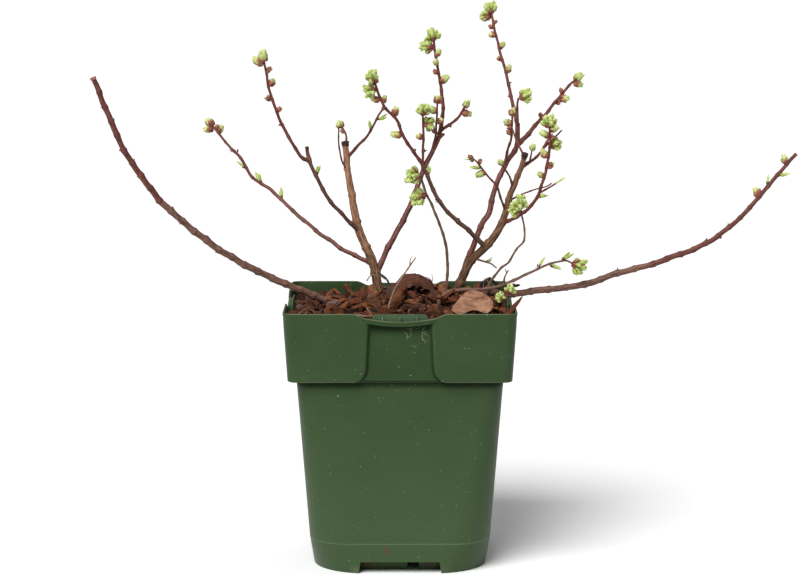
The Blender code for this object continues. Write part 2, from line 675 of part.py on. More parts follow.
def grow_right_stool(bush):
    """The right stool: an old trunk, the tall purple bough behind it and the shoots between."""
    rise = [(46, 69, -7), (35, 49, -10), (24, 66, -18), (19, 72, -30), (22, 67, -20), (12, 75, -39)]
    trunk = bush.root("trunk_right", (40, 11), rise, (8.4, 4.2), OLD_WOOD, sides=2)

    rise = [(23, 68, 27), (30, 66, 29), (15, 55, 28), (20, 68, 54), (23, 62, 28), (18, 59, 13), (19, 86, 52)]
    tall = bush.branch("bough_right_tall", trunk, 30, rise, (5.6, 4), sides=2)
    reach = [(14, 44, 17), (24, 46, 21), (28, 49, 12), (11, 44, 10)]
    arm_buds = "F+FR . bL+FR bR . bL . sR"
    bush.branch("twigs_right_arm", tall, 129, reach, (4, 2), buds=arm_buds, internode=9)
    reach = [(24, 67, 121), (27, 67, 123), (30, 69, 133), (21, 72, 129)]
    leader_buds = "O+OL bR+bL fL fR bL fR sR sL"
    bush.branch("twigs_top", tall, 146, reach, (3.2, 2), buds=leader_buds, internode=10.8)
    bush.branch("twigs_right_open", tall, 143, [(20, 69, -95), (9, 70, -80)], (2.2, 1.8), buds="OR")
    reach = [(16, 63, -76), (13, 63, -58), (20, 78, -82)]
    bush.branch("twigs_right_back", tall, 109, reach, (2.4, 1.8), buds="F FL bL", internode=9)

    reach = [(24, 38, -137), (32, 40, -151), (21, 54, -139), (26, 58, -133)]
    cross = bush.branch("bough_cross", trunk, 70, reach, (4, 3), buds=". lR . sL . sR", internode=13)
    reach = [(30, 50, -141), (16, 60, -133), (17, 45, -150), (24, 62, -138)]
    cross_buds = "O+bR OL FL+fR . FR . FL . sR"
    bush.extend("twigs_cross", cross, reach, (3, 2), buds=cross_buds, internode=9.3)

    low = "twigs_right_low"
    reach = [(23, 26, -36), (20, 44, -34), (22, 68, -44), (22, 74, -54), (20, 78, -96)]
    low_buds = "O+FR FL+bR OR FL fR fL . lR"
    riser = bush.branch(low, trunk, 94, reach, (3.2, 2), buds=low_buds, internode=9)
    bush.branch(low, riser, 48, [(11, 29, -30), (6, 34, -23)], (1.6, 1.4), buds="l")

    bush.branch("twig_right_bare", trunk, 115, [(19, 22, 23), (15, 13, 15), (7, 25, 17)], (1.5, 1.1))
    reach = [(18, 53, -115), (12, 56, -132), (24, 49, -154), (8, 38, -153)]
    bush.branch("twig_front_left", trunk, 105, reach, (2, 1.4), buds="b+lL bR+lL FL", internode=9)
    bush.branch("twig_front_short", trunk, 126, [(14, 55, -115), (14, 51, -138)], (1.8, 1.4), buds="f")
    back = "twigs_right_side"
    side = bush.branch(back, trunk, 145, [(21, 30, 36), (17, 54, 23)], (2.8, 1.8), buds="b")
    bush.branch(back, side, 27, [(15, 33, 39), (10, 39, 31)], (2, 0.9))
    bush.branch(back, side, 10, [(14, 55, -79)], (1.4, 1.2), buds="f")
    bush.branch("twig_trunk_top", trunk, 155, [(12, 51, 128), (15, 59, 129)], (1.6, 1.3), buds="bL")
    reach = [(16, -9, -39), (9, -21, -43)]
    bush.branch("twig_trunk_foot", trunk, 56, reach, (1.8, 1.3), buds=". lL", internode=12)


def grow_small_shoots(bush):
    """The thin shoots that rise from the mulch round the two stools."""
    reach = [(57, 87, -66), (30, 72, -140), (30, 63, -149), (13, 71, -138)]
    bush.root("shoot_centre", (38, -11), reach, (2.7, 2), buds="OL . OL", internode=9)
    reach = [(32, 76, -15), (18, 58, -18), (10, 42, -15), (13, 58, -27), (12, 54, -24), (27, 76, -119)]
    bush.root("shoot_front", (66, -20), reach, (2, 1.5), buds="O+OL")
    reach = [(29, 69, 11), (36, 5, 5), (22, 17, 14), (25, 24, 10), (20, 15, 12), (10, -19, 13)]
    bush.root("shoot_low_right", (28, -32), reach, (2.4, 1.6), buds="O lL lR lL", internode=11)
    bush.root("shoot_rim", (80, -60), [(22, 80, 10), (12, 60, 30)], (2, 1.6), buds="O OL", internode=9)
    bush.root("dry_twig", (-10, -50), [(25, 83, 37), (24, 61, 10), (16, 52, 24)], (1.4, 0.9), DRY_WOOD)


def main():
    clear_scene()
    parts = make_collection("blueberry_bush")
    cutters = make_collection("cutters")
    cutters.hide_render = True
    bush = Bush()
    grow_canes(bush)
    grow_left_stool(bush)
    grow_right_stool(bush)
    grow_small_shoots(bush)
    make_pot(parts, cutters)
    make_potting_mix(parts)
    make_bark(parts, cutters, bush.rooted)
    bush.build(parts, cutters)
    for obj in parts.objects:
        obj.data.shade_smooth()
        obj.data.set_sharp_from_angle(angle=SHARP_ANGLE)


main()
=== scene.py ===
"""A young blueberry bush in a square nursery pot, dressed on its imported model."""

import json
import math
import random

import bmesh
import bpy
from mathutils import Matrix, Vector, noise

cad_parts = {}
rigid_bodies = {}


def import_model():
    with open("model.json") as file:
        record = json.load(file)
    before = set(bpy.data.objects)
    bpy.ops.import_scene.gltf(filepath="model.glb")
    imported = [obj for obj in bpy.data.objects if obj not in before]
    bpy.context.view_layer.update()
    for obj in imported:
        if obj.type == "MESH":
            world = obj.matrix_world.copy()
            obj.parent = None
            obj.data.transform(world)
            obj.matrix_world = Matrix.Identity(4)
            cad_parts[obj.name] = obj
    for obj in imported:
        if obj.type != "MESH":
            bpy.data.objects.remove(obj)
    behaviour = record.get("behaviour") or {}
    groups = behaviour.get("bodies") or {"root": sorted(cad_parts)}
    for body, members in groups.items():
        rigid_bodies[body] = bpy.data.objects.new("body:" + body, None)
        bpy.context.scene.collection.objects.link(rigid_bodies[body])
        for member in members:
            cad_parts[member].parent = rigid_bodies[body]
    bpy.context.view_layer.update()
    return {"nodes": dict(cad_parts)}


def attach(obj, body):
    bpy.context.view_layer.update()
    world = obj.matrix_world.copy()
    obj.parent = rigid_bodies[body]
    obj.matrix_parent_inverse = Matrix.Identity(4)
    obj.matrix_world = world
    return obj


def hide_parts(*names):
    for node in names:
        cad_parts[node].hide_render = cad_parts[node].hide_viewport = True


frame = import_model()
MM = 0.001
# The small bends of the wood and the crumples of the lobes come from one fixed seed.
noise.seed_set(7)

# The eye: a long lens about two metres in front of the pot, a little above its rim, looking down at it.
# The frame it takes is 800 wide and 574 high.
lens = bpy.data.cameras.new("eye")
lens.lens = 113.8
lens.sensor_width = 36
eye = bpy.data.objects.new("eye", lens)
eye.location = (0, -2.1, 0.5332)
eye.rotation_euler = (math.radians(81.737), 0, 0)
bpy.context.scene.collection.objects.link(eye)
bpy.context.scene.camera = eye

# The studio: a wide pale floor that runs on to a pale surround, under one very soft light from high in
# front and a fainter one from behind. The floor isn't part of the bush.
FLOOR_REACH = 30
SURROUND_STRENGTH = 0.3
# Each light's height and bearing in degrees, how wide it spreads in degrees, and its strength.
SUNS = ((47, -26, 36, 4.55), (50, 150, 60, 0.5))


def link_mesh(builder, name, *finishes):
    """A bmesh made into an object of the scene, with its finishes."""
    mesh = bpy.data.meshes.new(name)
    builder.to_mesh(mesh)
    builder.free()
    obj = bpy.data.objects.new(name, mesh)
    bpy.context.scene.collection.objects.link(obj)
    for finish in finishes:
        mesh.materials.append(finish)
    return obj


def node(tree, kind, values=None, **settings):
    """A new node: settings are its own options, values its sockets, as numbers or as other outputs."""
    made = tree.nodes.new(kind)
    for name, value in settings.items():
        setattr(made, name, value)
    for name, value in (values or {}).items():
        if isinstance(value, bpy.types.NodeSocket):
            tree.links.new(value, made.inputs[name])
        else:
            made.inputs[name].default_value = value
    return made


def object_coords(tree):
    """Where a point lies on its own object."""
    return node(tree, "ShaderNodeTexCoord").outputs["Object"]


def noise_on(tree, place, **settings):
    """A noise from 0 to 1 over a place, with its scale and its other settings."""
    return node(tree, "ShaderNodeTexNoise", {"Vector": place, **settings}).outputs["Fac"]


def new_finish(name, roughness, **more):
    """A material and its shader, with what is the same all over set on the shader itself."""
    finish = bpy.data.materials.new(name)
    finish.use_nodes = True
    shader = finish.node_tree.nodes["Principled BSDF"]
    shader.inputs["Roughness"].default_value = roughness
    for label, value in more.items():
        shader.inputs[label.replace("_", " ")].default_value = value
    return finish, finish.node_tree, shader


def ramp(tree, factor, *stops):
    """A colour ramp output through stops of (place, colour)."""
    made = node(tree, "ShaderNodeValToRGB", {"Fac": factor})
    elements = made.color_ramp.elements
    while len(elements) < len(stops):
        elements.new(0.5)
    for element, (place, colour) in zip(elements, stops):
        element.position = place
        element.color = (*colour, 1)
    return made.outputs["Color"]


floor_builder = bmesh.new()
bmesh.ops.create_grid(floor_builder, x_segments=1, y_segments=1, size=FLOOR_REACH)
floor_finish, floor_tree, floor_shader = new_finish("studio_floor", 0.9, Specular_IOR_Level=0.1)
floor_coords = object_coords(floor_tree)
floor_noise = noise_on(floor_tree, floor_coords, Scale=3)
floor_colour = ramp(floor_tree, floor_noise, (0.3, (0.75, 0.75, 0.75)), (0.7, (0.77, 0.77, 0.77)))
floor_tree.links.new(floor_colour, floor_shader.inputs["Base Color"])
floor = link_mesh(floor_builder, "studio_floor", floor_finish)
surround = bpy.data.worlds.new("surround")
surround.use_nodes = True
surround.node_tree.nodes["Background"].inputs["Color"].default_value = (1, 1, 1, 1)
surround.node_tree.nodes["Background"].inputs["Strength"].default_value = SURROUND_STRENGTH
bpy.context.scene.world = surround
bpy.context.scene.view_settings.view_transform = "Standard"
for elevation, azimuth, spread, strength in SUNS:
    sky_data = bpy.data.lights.new("soft_sky", "SUN")
    sky_data.angle = math.radians(spread)
    sky_data.energy = strength
    sky = bpy.data.objects.new("soft_sky", sky_data)
    sky.rotation_euler = (math.radians(90 - elevation), 0, math.radians(azimuth))
    bpy.context.scene.collection.objects.link(sky)

# The pot: injection moulded green polypropylene, thin walled, with a stepped collar, four corner panels
# round set back middles, a rolled rim that dips, and a foot ring with a notch in each side. It is lofted
# in one skin from the outside over the rim to the inside, then its foot is cut and its tabs are joined.
# Half widths and corner radii are at the level that each is named for.
POT_HEIGHT = 220 * MM
WALL = 1.6 * MM
COLLAR_FOOT = 163.1 * MM
BODY_TOP = 162.8 * MM
HALF_AT_RIM = 94.9 * MM
HALF_AT_COLLAR_FOOT = 91.2 * MM
HALF_AT_BODY_TOP = 84.4 * MM
HALF_AT_STEP = 75.1 * MM
HALF_AT_GROUND = 72 * MM
STEP_HEIGHT = 25.5 * MM
CORNER_AT_RIM = 9 * MM
CORNER_AT_BODY_TOP = 13 * MM
CORNER_AT_STEP = 33 * MM
CORNER_AT_GROUND = 45 * MM
CORNER_STEPS = 10
RECESS_DEPTH = 4 * MM
LIP_RECESS = 0.5 * MM
LIP_END = 29.8 * MM
RECESS_HALF_AT_RIM = 25.4 * MM
RECESS_HALF_AT_FOOT = 28.5 * MM
PANEL_CORNER = 10 * MM
PANEL_EDGE = (
    (0.9, 0), (0.5, 0.04), (0.2, 0.13), (-0.4, 0.34), (-1.1, 0.58), (-1.8, 0.82), (-2.3, 0.95), (-3.0, 1))
DIP_HALF = 38 * MM
DIP_SHOULDER = 3.8 * MM
LIP_HALF = 27 * MM
LIP_SAG = 2.6 * MM
LIP_FOOT = 212 * MM
LIP_SWEEP = 3.4 * MM
SWEEP_START = 26 * MM
FLOOR_TOP = 12 * MM
FLOOR_UNDERSIDE = 10 * MM
FOOT_RING = 3.5 * MM
NOTCH_HALF = 35 * MM
HOLE_RADIUS = 3.5 * MM
HOLE_OUT, HOLE_ASIDE = 50 * MM, 11 * MM
PAD_INWARD = 13.5 * MM
CHANNEL_LOW, CHANNEL_HIGH, CHANNEL_REACH = 5 * MM, 17 * MM, 75 * MM
CUT_PAST = 5 * MM
TAB_WIDTH = 44.8 * MM
TAB_THICK = 0.9 * MM
TAB_FOOT, TAB_TOP = 208 * MM, 219 * MM
TAB_CORNER = 3.2 * MM
RIB_PLACES = (-14, 0, 14)
RIB_FOOT, RIB_TOP = 209.6 * MM, 217.4 * MM


def between(value, low, high, at_low, at_high):
    """The value's share of the way from low to high, carried over to another pair."""
    return at_low + (at_high - at_low) * (value - low) / (high - low)


def pot_half(z):
    """Half the pot's outer width at a level."""
    if z >= COLLAR_FOOT:
        return between(z, COLLAR_FOOT, POT_HEIGHT, HALF_AT_COLLAR_FOOT, HALF_AT_RIM)
    if z >= STEP_HEIGHT:
        return between(z, STEP_HEIGHT, BODY_TOP, HALF_AT_STEP, HALF_AT_BODY_TOP)
    return between(z, 0, STEP_HEIGHT, HALF_AT_GROUND, HALF_AT_STEP)


def pot_corner(z):
    """The radius of the pot's corners at a level."""
    if z >= COLLAR_FOOT:
        return CORNER_AT_RIM
    if z >= STEP_HEIGHT:
        return between(z, STEP_HEIGHT, BODY_TOP, CORNER_AT_STEP, CORNER_AT_BODY_TOP)
    return between(z, 0, STEP_HEIGHT, CORNER_AT_GROUND, CORNER_AT_STEP)


def panel_edge(z):
    """Half the width between two corner panels, whose lower inner corners are rounded."""
    half = between(z, COLLAR_FOOT, POT_HEIGHT, RECESS_HALF_AT_FOOT, RECESS_HALF_AT_RIM)
    below = COLLAR_FOOT + PANEL_CORNER - z
    if below > 0:
        half += PANEL_CORNER - math.sqrt(max(0, PANEL_CORNER**2 - below**2))
    return half


def lip_sag(x):
    """How far the lip bows down between its two ends."""
    return LIP_SAG * max(0, 1 - (x / LIP_HALF) ** 2)


def rim_dip(x):
    """How far the rim drops: an S on either side of the lip, then the lip's own sag."""
    share = min(1, max(0, (DIP_HALF - abs(x)) / (DIP_HALF - LIP_HALF)))
    return DIP_SHOULDER * share * share * (3 - 2 * share) + lip_sag(x)


def lip_foot(x):
    """How far the lip's lower edge drops: it follows the sag, then sweeps up to the rim at either end."""
    return lip_sag(x) - LIP_SWEEP * min(1, max(0, abs(x) - SWEEP_START) / (LIP_END - SWEEP_START))


def pot_ring(form_z, z, inward=0.0, recess=0.0, drop=None, reach_out=0.0):
    """One closed ring round the pot, formed as at form_z, set inward, and dropped along each side."""
    half = pot_half(form_z) - inward
    corner = max(2 * MM, pot_corner(form_z) - inward)
    straight = half - corner
    shoulder = min(DIP_HALF, straight - 0.5 * MM)
    edge = min(shoulder - 1.8 * MM, panel_edge(max(form_z, COLLAR_FOOT)) + inward + reach_out)
    left = []
    for step in range(CORNER_STEPS + 1):
        turn = math.radians(180 + 90 * step / CORNER_STEPS)
        left.append((-straight + corner * math.cos(turn), -straight + corner * math.sin(turn)))
    reach = edge + PANEL_EDGE[0][0] * MM
    left += [(-between(step, 0, 5, shoulder, reach), -half) for step in range(5)]
    left += [(-edge - aside * MM, -half + recess * share) for aside, share in PANEL_EDGE]
    inner = edge + PANEL_EDGE[-1][0] * MM
    middle = [(inner * (step / 4 - 1), -half + recess) for step in range(1, 8)]
    right = [(-x, y) for x, y in reversed(left[CORNER_STEPS + 1:])]
    ring = []
    for quarter in range(4):
        turn = Matrix.Rotation(math.radians(90 * quarter), 3, "Z")
        for x, y in left + middle + right:
            ring.append(turn @ Vector((x, y, z - (drop(x) if drop else 0))))
    return ring


def loft(rings, name):
    """A closed skin through rings that all have the same number of points."""
    skin = bmesh.new()
    loops = [[skin.verts.new(point) for point in ring] for ring in rings]
    count = len(rings[0])
    for lower, upper in zip(loops, loops[1:]):
        for i in range(count):
            j = (i + 1) % count
            skin.faces.new((lower[i], lower[j], upper[j], upper[i]))
    skin.faces.new(reversed(loops[0]))
    skin.faces.new(loops[-1])
    bmesh.ops.recalc_face_normals(skin, faces=skin.faces)
    return link_mesh(skin, name)


def block(low, high, draft=0.0):
    """A box between two corners, narrower at the top by the draft."""
    builder = bmesh.new()
    bmesh.ops.create_cube(builder, size=1)
    size, middle = Vector(high) - Vector(low), (Vector(high) + Vector(low)) / 2
    for vertex in builder.verts:
        inward = draft if vertex.co.z > 0 else 0
        vertex.co.x *= size.x - 2 * inward
        vertex.co.y *= size.y - 2 * inward
        vertex.co.z *= size.z
        vertex.co += middle
    return link_mesh(builder, "block")


def combine(obj, others, operation):
    """Joins or cuts obj by the other pieces, then removes them."""
    tools = bpy.data.collections.new("tools")
    bpy.context.scene.collection.children.link(tools)
    for other in others:
        bpy.context.scene.collection.objects.unlink(other)
        tools.objects.link(other)
    modifier = obj.modifiers.new("combine", "BOOLEAN")
    modifier.operation = operation
    modifier.operand_type = "COLLECTION"
    modifier.collection = tools
    modifier.solver = "MANIFOLD"
    mesh = bpy.data.meshes.new_from_object(obj.evaluated_get(bpy.context.evaluated_depsgraph_get()))
    obj.modifiers.remove(modifier)
    obj.data = mesh
    for other in others:
        bpy.data.objects.remove(other, do_unlink=True)
    bpy.data.collections.remove(tools)


def collar_wall(inward, lift):
    """The collar's rings from its foot to just under the lip, its foot edge softly rounded."""
    rings = []
    for rise, tuck, recess in (
        (0, 0.55, 6.25), (0.2, 0.2, 5.9), (0.55, 0, 5.2), (0.9, 0, 4.4), (1.3, 0, 4), (2.2, 0, 4),
        (3.4, 0, 4), (4.8, 0, 4), (6.4, 0, 4), (8.2, 0, 4), (10.2, 0, 4), (25, 0, 4), (38, 0, 4),
        (41.5, 0, 4), (44.5, 0, 4)
    ):
        z = COLLAR_FOOT + rise * MM
        rings.append(pot_ring(z, z + lift, inward + tuck * MM, recess * MM))
    return rings


pot_rings = [pot_ring(0, 0, 0.4 * MM), pot_ring(0, 0.4 * MM)]
pot_rings += [
    pot_ring(z * MM, z * MM) for z in (8, 16, 24.6, 25.5, 26.4, 50, 75, 100, 125, 150, 156, 159.5, 161.8)]
pot_rings.append(pot_ring(BODY_TOP, BODY_TOP))
pot_rings += collar_wall(0, 0)
for lift, recess, spread in (
    (-0.4, 4, 0), (0, 3.6, 0.6), (0.02, 0.2, 2), (0.2, -0.45, 2.3), (0.7, -0.6, 2.4)
):
    pot_rings.append(pot_ring(LIP_FOOT, LIP_FOOT + lift * MM, 0, recess * MM, lip_foot, spread * MM))
for step in range(9):
    round_rim = math.pi * step / 8
    over = WALL / 2 * (1 - math.cos(round_rim))
    pot_rings.append(
        pot_ring(POT_HEIGHT, POT_HEIGHT - WALL / 2 * (1 - math.sin(round_rim)), over, LIP_RECESS, rim_dip))
pot_rings.append(pot_ring(LIP_FOOT, LIP_FOOT + WALL, WALL, LIP_RECESS, lip_sag))
pot_rings.append(pot_ring(LIP_FOOT, LIP_FOOT + WALL - 0.3 * MM, WALL, RECESS_DEPTH, lip_sag))
pot_rings += reversed(collar_wall(WALL, WALL))
pot_rings.append(pot_ring(BODY_TOP, BODY_TOP + WALL - 0.2 * MM, WALL))
pot_rings += [pot_ring(z, z, WALL) for z in (120 * MM, 60 * MM, STEP_HEIGHT, FLOOR_TOP)]
pot = loft(pot_rings, "pot_moulding")

pocket = [pot_ring(0, -CUT_PAST, FOOT_RING), pot_ring(FLOOR_UNDERSIDE, FLOOR_UNDERSIDE, FOOT_RING)]
foot_cuts = [loft(pocket, "pocket")]
for quarter in range(4):
    turn = Matrix.Rotation(math.radians(90 * quarter), 4, "Z")
    notch = block((-NOTCH_HALF, -80 * MM, -CUT_PAST), (NOTCH_HALF, -60 * MM, FLOOR_UNDERSIDE), 2.5 * MM)
    notch.data.transform(turn)
    hole = bmesh.new()
    bmesh.ops.create_cone(
        hole, cap_ends=True, segments=20, radius1=HOLE_RADIUS, radius2=HOLE_RADIUS, depth=4 * MM)
    spot = turn @ Vector((HOLE_OUT, 0, (FLOOR_UNDERSIDE + FLOOR_TOP) / 2))
    spot += Vector((HOLE_ASIDE, 0, 0)) if quarter % 2 else Vector((0, HOLE_ASIDE, 0))
    bmesh.ops.translate(hole, verts=hole.verts, vec=spot)
    foot_cuts += [notch, link_mesh(hole, "hole")]
combine(pot, foot_cuts, "DIFFERENCE")

pad_rings = [pot_ring(0, 0, 14.2 * MM), pot_ring(0, 0.7 * MM, PAD_INWARD)]
pad_rings.append(pot_ring(FLOOR_UNDERSIDE, 10.3 * MM, PAD_INWARD))
pads = loft(pad_rings, "pads")
low, high = (CHANNEL_LOW, -CHANNEL_REACH, -CUT_PAST), (CHANNEL_HIGH, CHANNEL_REACH, 11 * MM)
channels = [block(low, high, 2 * MM)]
low, high = (-CHANNEL_REACH, CHANNEL_LOW, -CUT_PAST), (CHANNEL_REACH, CHANNEL_HIGH, 11 * MM)
channels.append(block(low, high, 2 * MM))
combine(pads, channels, "DIFFERENCE")
foot_parts = [pads]
tab_front = RECESS_DEPTH + 0.1 * MM - pot_half(TAB_FOOT)
for quarter in range(4):
    tab = bmesh.new()
    bmesh.ops.create_cube(tab, size=1)
    for vertex in tab.verts:
        vertex.co.x *= TAB_WIDTH
        vertex.co.y = tab_front if vertex.co.y < 0 else tab_front + TAB_THICK
        vertex.co.z = TAB_TOP if vertex.co.z > 0 else TAB_FOOT
    corners = [
        edge for edge in tab.edges
        if min(end.co.z for end in edge.verts) > TAB_TOP - TAB_CORNER
        and edge.verts[0].co.x == edge.verts[1].co.x
    ]
    bmesh.ops.bevel(tab, geom=corners, offset=TAB_CORNER, segments=6, profile=0.5, affect="EDGES")
    pieces = [link_mesh(tab, "tab")]
    for place in RIB_PLACES:
        low = ((place - 0.5) * MM, RECESS_DEPTH - 3.6 * MM + WALL / 2 - pot_half(LIP_FOOT), RIB_FOOT)
        pieces.append(block(low, ((place + 0.5) * MM, tab_front + 0.4 * MM, RIB_TOP)))
    for piece in pieces:
        piece.data.transform(Matrix.Rotation(math.radians(90 * quarter), 4, "Z"))
    foot_parts += pieces
combine(pot, foot_parts, "UNION")
pot.data.shade_smooth()
pot.data.set_sharp_from_angle(angle=math.radians(32))


def wear_at(x, y, z):
    """How much wear a point of the plastic has, with a painted highlight on some edges, how deep it lies in
    painted shade, and whether it is on the tab, painted as lit through.
    """
    mine, other = (abs(x), abs(y)) if abs(x) > abs(y) else (abs(y), abs(x))
    depth = (pot_half(max(0, min(POT_HEIGHT, z))) - mine) / MM
    below_rim = (POT_HEIGHT - rim_dip(other) - z) / MM
    # The tab, painted lighter as if lit through its thin plastic, then the ribs in front of it, also painted
    # pale with dust and highlight.
    if 3.9 < depth < 6 and z > 209 * MM and other < 22.5 * MM:
        return 0, 0, 1
    if 1 < depth < 4.5 and z > 213.5 * MM and other < 15 * MM:
        return 0.5, 0, 1
    # The worn edges, paled with dust, with a painted highlight as well on the rim and the panels' inner
    # edges: rim, foot of the collar, inner edges of its panels, and the ground.
    if below_rim < 0.75 and depth < 2.4:
        return (0.45 if below_rim < 0.3 else 0.2), 0, 0
    if depth < 1.2 and abs(z - COLLAR_FOOT) < 0.7 * MM:
        return 0.3, 0, 0
    if 0.1 < depth < 1.1 and COLLAR_FOOT < z < 211 * MM and other < 40 * MM:
        return 0.13, 0, 0
    if z < 0.6 * MM and depth < 1:
        return 0.3, 0, 0
    # The shade: in the set back middle, most of all under the lip, on the lip's face, and under the collar.
    shaded = 0
    if 0.9 < depth < 6 and other < 32 * MM and COLLAR_FOOT < z < LIP_FOOT:
        shaded = 0.5 if depth < 3.9 else 0.17
    if depth > 3.5 and other < 30 * MM and 200 * MM < z < LIP_FOOT:
        shaded = max(shaded, min(1, (z / MM - 201) / 8))
    if depth < 1.2 and other < LIP_HALF and z > 209 * MM:
        shaded = 0.22
    if 156 * MM < z < COLLAR_FOOT + 0.5 * MM and depth > -1:
        shaded = min(1, (z / MM - 156) / 5.5)
    return 0, shaded, 0


def write_layer(mesh, label, kind, values):
    """Values kept at the points of a mesh, in their order."""
    layer = mesh.attributes.new(label, kind, "POINT")
    layer.data.foreach_set("vector" if kind == "FLOAT_VECTOR" else "value", values)


def shade_over(tree, below, above, share):
    """One colour laid over another by a share from 0 to 1."""
    mix = node(tree, "ShaderNodeMix", data_type="RGBA")
    for place, value in ((0, share), (6, below), (7, above)):
        if isinstance(value, bpy.types.NodeSocket):
            tree.links.new(value, mix.inputs[place])
        else:
            mix.inputs[place].default_value = value
    return mix.outputs[2]


def span(tree, value, low, high, to_low=0.0, to_high=1.0):
    """A value that runs from low to high, spread to a new range and held there."""
    settings = {"Value": value, "From Min": low, "From Max": high, "To Min": to_low, "To Max": to_high}
    return node(tree, "ShaderNodeMapRange", settings).outputs["Result"]


def calc(tree, operation, first, second=0.0):
    """One sum on two values."""
    made = node(tree, "ShaderNodeMath", {0: first, 1: second}, operation=operation)
    return made.outputs[0]


def layer_of(tree, label, output="Fac"):
    """What a finish reads from the values kept at the points."""
    return node(tree, "ShaderNodeAttribute", attribute_name=label).outputs[output]


def add_bump(tree, shader, height, strength, distance):
    """Fine relief on a finish, from a height between 0 and 1."""
    bump = node(tree, "ShaderNodeBump", {"Strength": strength, "Distance": distance, "Height": height})
    tree.links.new(bump.outputs["Normal"], shader.inputs["Normal"])


for label, kind in (("wear_and_highlight", 0), ("shaded", 1), ("tab_lit_through", 2)):
    values = [wear_at(*vertex.co)[kind] for vertex in pot.data.vertices]
    write_layer(pot.data, label, "FLOAT", values)

# Where soil has splashed on the foot and lies in its notch, and how far each spot reaches.
SOIL_SPOTS = (
    ((-0.0117, -0.0735, 0.0205), 0.0085), ((0.061, -0.067, 0.013), 0.008), ((-0.026, -0.060, 0.006), 0.016),
    ((0.025, -0.060, 0.006), 0.014),
)
SCRATCHES = (0.013, -0.090, 0.2015)
pot_finish, tree, shader = new_finish("green_plastic", 0.42, Specular_IOR_Level=0.22)
coords = object_coords(tree)
clouds = noise_on(tree, coords, Scale=22, Detail=5, Roughness=0.6)
green = ramp(tree, clouds, (0.3, (0.0175, 0.0400, 0.0108)), (0.7, (0.0235, 0.0505, 0.0146)))
height = node(tree, "ShaderNodeSeparateXYZ", {"Vector": coords}).outputs["Z"]
# Painted bounce light from the floor: the body's green is lighter towards its foot.
painted_floor_bounce = span(tree, height, 0.17, 0.03)
green = shade_over(tree, green, (0.034, 0.066, 0.022, 1), calc(tree, "MULTIPLY", painted_floor_bounce, 0.9))
# The tab's painted glow: a lighter green, as if lit through its thin plastic.
tab_lit_through = layer_of(tree, "tab_lit_through")
green = shade_over(tree, green, (0.042, 0.076, 0.036, 1), tab_lit_through)
shaded = layer_of(tree, "shaded")
green = shade_over(tree, green, (0.006, 0.012, 0.005, 1), calc(tree, "MULTIPLY", shaded, 0.85))
breaks = noise_on(tree, coords, Scale=60, Detail=4)
wear_and_highlight = layer_of(tree, "wear_and_highlight")
# Pale dust and a painted highlight along the worn edges, broken up by noise.
dust_and_highlight = calc(tree, "MULTIPLY", wear_and_highlight, span(tree, breaks, 0.35, 0.62, 0.45, 0.95))
green = shade_over(tree, green, (0.175, 0.185, 0.105, 1), dust_and_highlight)
# A faint painted highlight along the step line near the foot.
crease = calc(tree, "ABSOLUTE", calc(tree, "SUBTRACT", height, STEP_HEIGHT))
step_highlight = calc(tree, "MULTIPLY", span(tree, crease, 0.0008, 0.0002), span(tree, breaks, 0.3, 0.5, 0.2, 0.5))
green = shade_over(tree, green, (0.10, 0.15, 0.08, 1), step_highlight)
grains = noise_on(tree, coords, Scale=520, Detail=1)
green = shade_over(tree, green, (0.24, 0.29, 0.20, 1), span(tree, grains, 0.745, 0.79, 0, 0.5))
wander = noise_on(tree, coords, Scale=85, Detail=2, Distortion=0.6)
hair = span(tree, calc(tree, "ABSOLUTE", calc(tree, "SUBTRACT", wander, 0.5)), 0.009, 0.003)
away = node(tree, "ShaderNodeVectorMath", {0: coords, 1: SCRATCHES}, operation="DISTANCE").outputs["Value"]
patch = span(tree, away, 0.011, 0.0075, 0, 0.55)
green = shade_over(tree, green, (0.28, 0.34, 0.26, 1), calc(tree, "MULTIPLY", hair, patch))
soil_noise = noise_on(tree, coords, Scale=460, Detail=4, Roughness=0.7)
for place, reach in SOIL_SPOTS:
    away = node(tree, "ShaderNodeVectorMath", {0: coords, 1: place}, operation="DISTANCE").outputs["Value"]
    patch = calc(tree, "ADD", span(tree, away, reach, 0.0, -0.2, 0.16), soil_noise)
    green = shade_over(tree, green, (0.075, 0.036, 0.020, 1), span(tree, patch, 0.53, 0.59, 0, 0.85))
tree.links.new(green, shader.inputs["Base Color"])
tree.links.new(span(tree, clouds, 0.3, 0.7, 0.38, 0.52), shader.inputs["Roughness"])
tree.links.new(span(tree, shaded, 0, 0.7, 0.22, 0.03), shader.inputs["Specular IOR Level"])
fine = noise_on(tree, coords, Scale=1300, Detail=2)
add_bump(tree, shader, fine, 0.25, 0.0002)
pot.data.materials.clear()
pot.data.materials.append(pot_finish)
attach(pot, "root")
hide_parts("pot")

# The potting mix: dark fibrous peat that fills the pot from its floor to under the bark.
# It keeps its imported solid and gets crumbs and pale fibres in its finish.
mix_finish, tree, shader = new_finish("peat", 0.95, Specular_IOR_Level=0.15)
coords = object_coords(tree)
crumbs = noise_on(tree, coords, Scale=260, Detail=8, Roughness=0.7)
tree.links.new(
    ramp(
        tree, crumbs, (0.35, (0.012, 0.008, 0.005)), (0.6, (0.045, 0.028, 0.018)), (0.8, (0.14, 0.09, 0.05))),
    shader.inputs["Base Color"])
add_bump(tree, shader, crumbs, 0.9, 0.002)
frame["nodes"]["potting_mix"].material_slots[0].material = mix_finish

# How the wood grows. Every shoot follows runs of a length in millimetres, a rise from level and a compass
# heading, tapers to its tip, swells a little at each node and flares where it leaves its parent. Its skin
# is drawn along that path by one tree of nodes, which also lays the bark's grain on it.
MIX_TOP = 200 * MM
GAP = 0.3 * MM
STEP_ALONG = 1.5 * MM
NODE_REACH = 1.4 * MM
NODE_SWELL = 0.25
STEADY_FOOT, STEADY_TIP = 12 * MM, 6 * MM
FLARE_REACH = 5 * MM


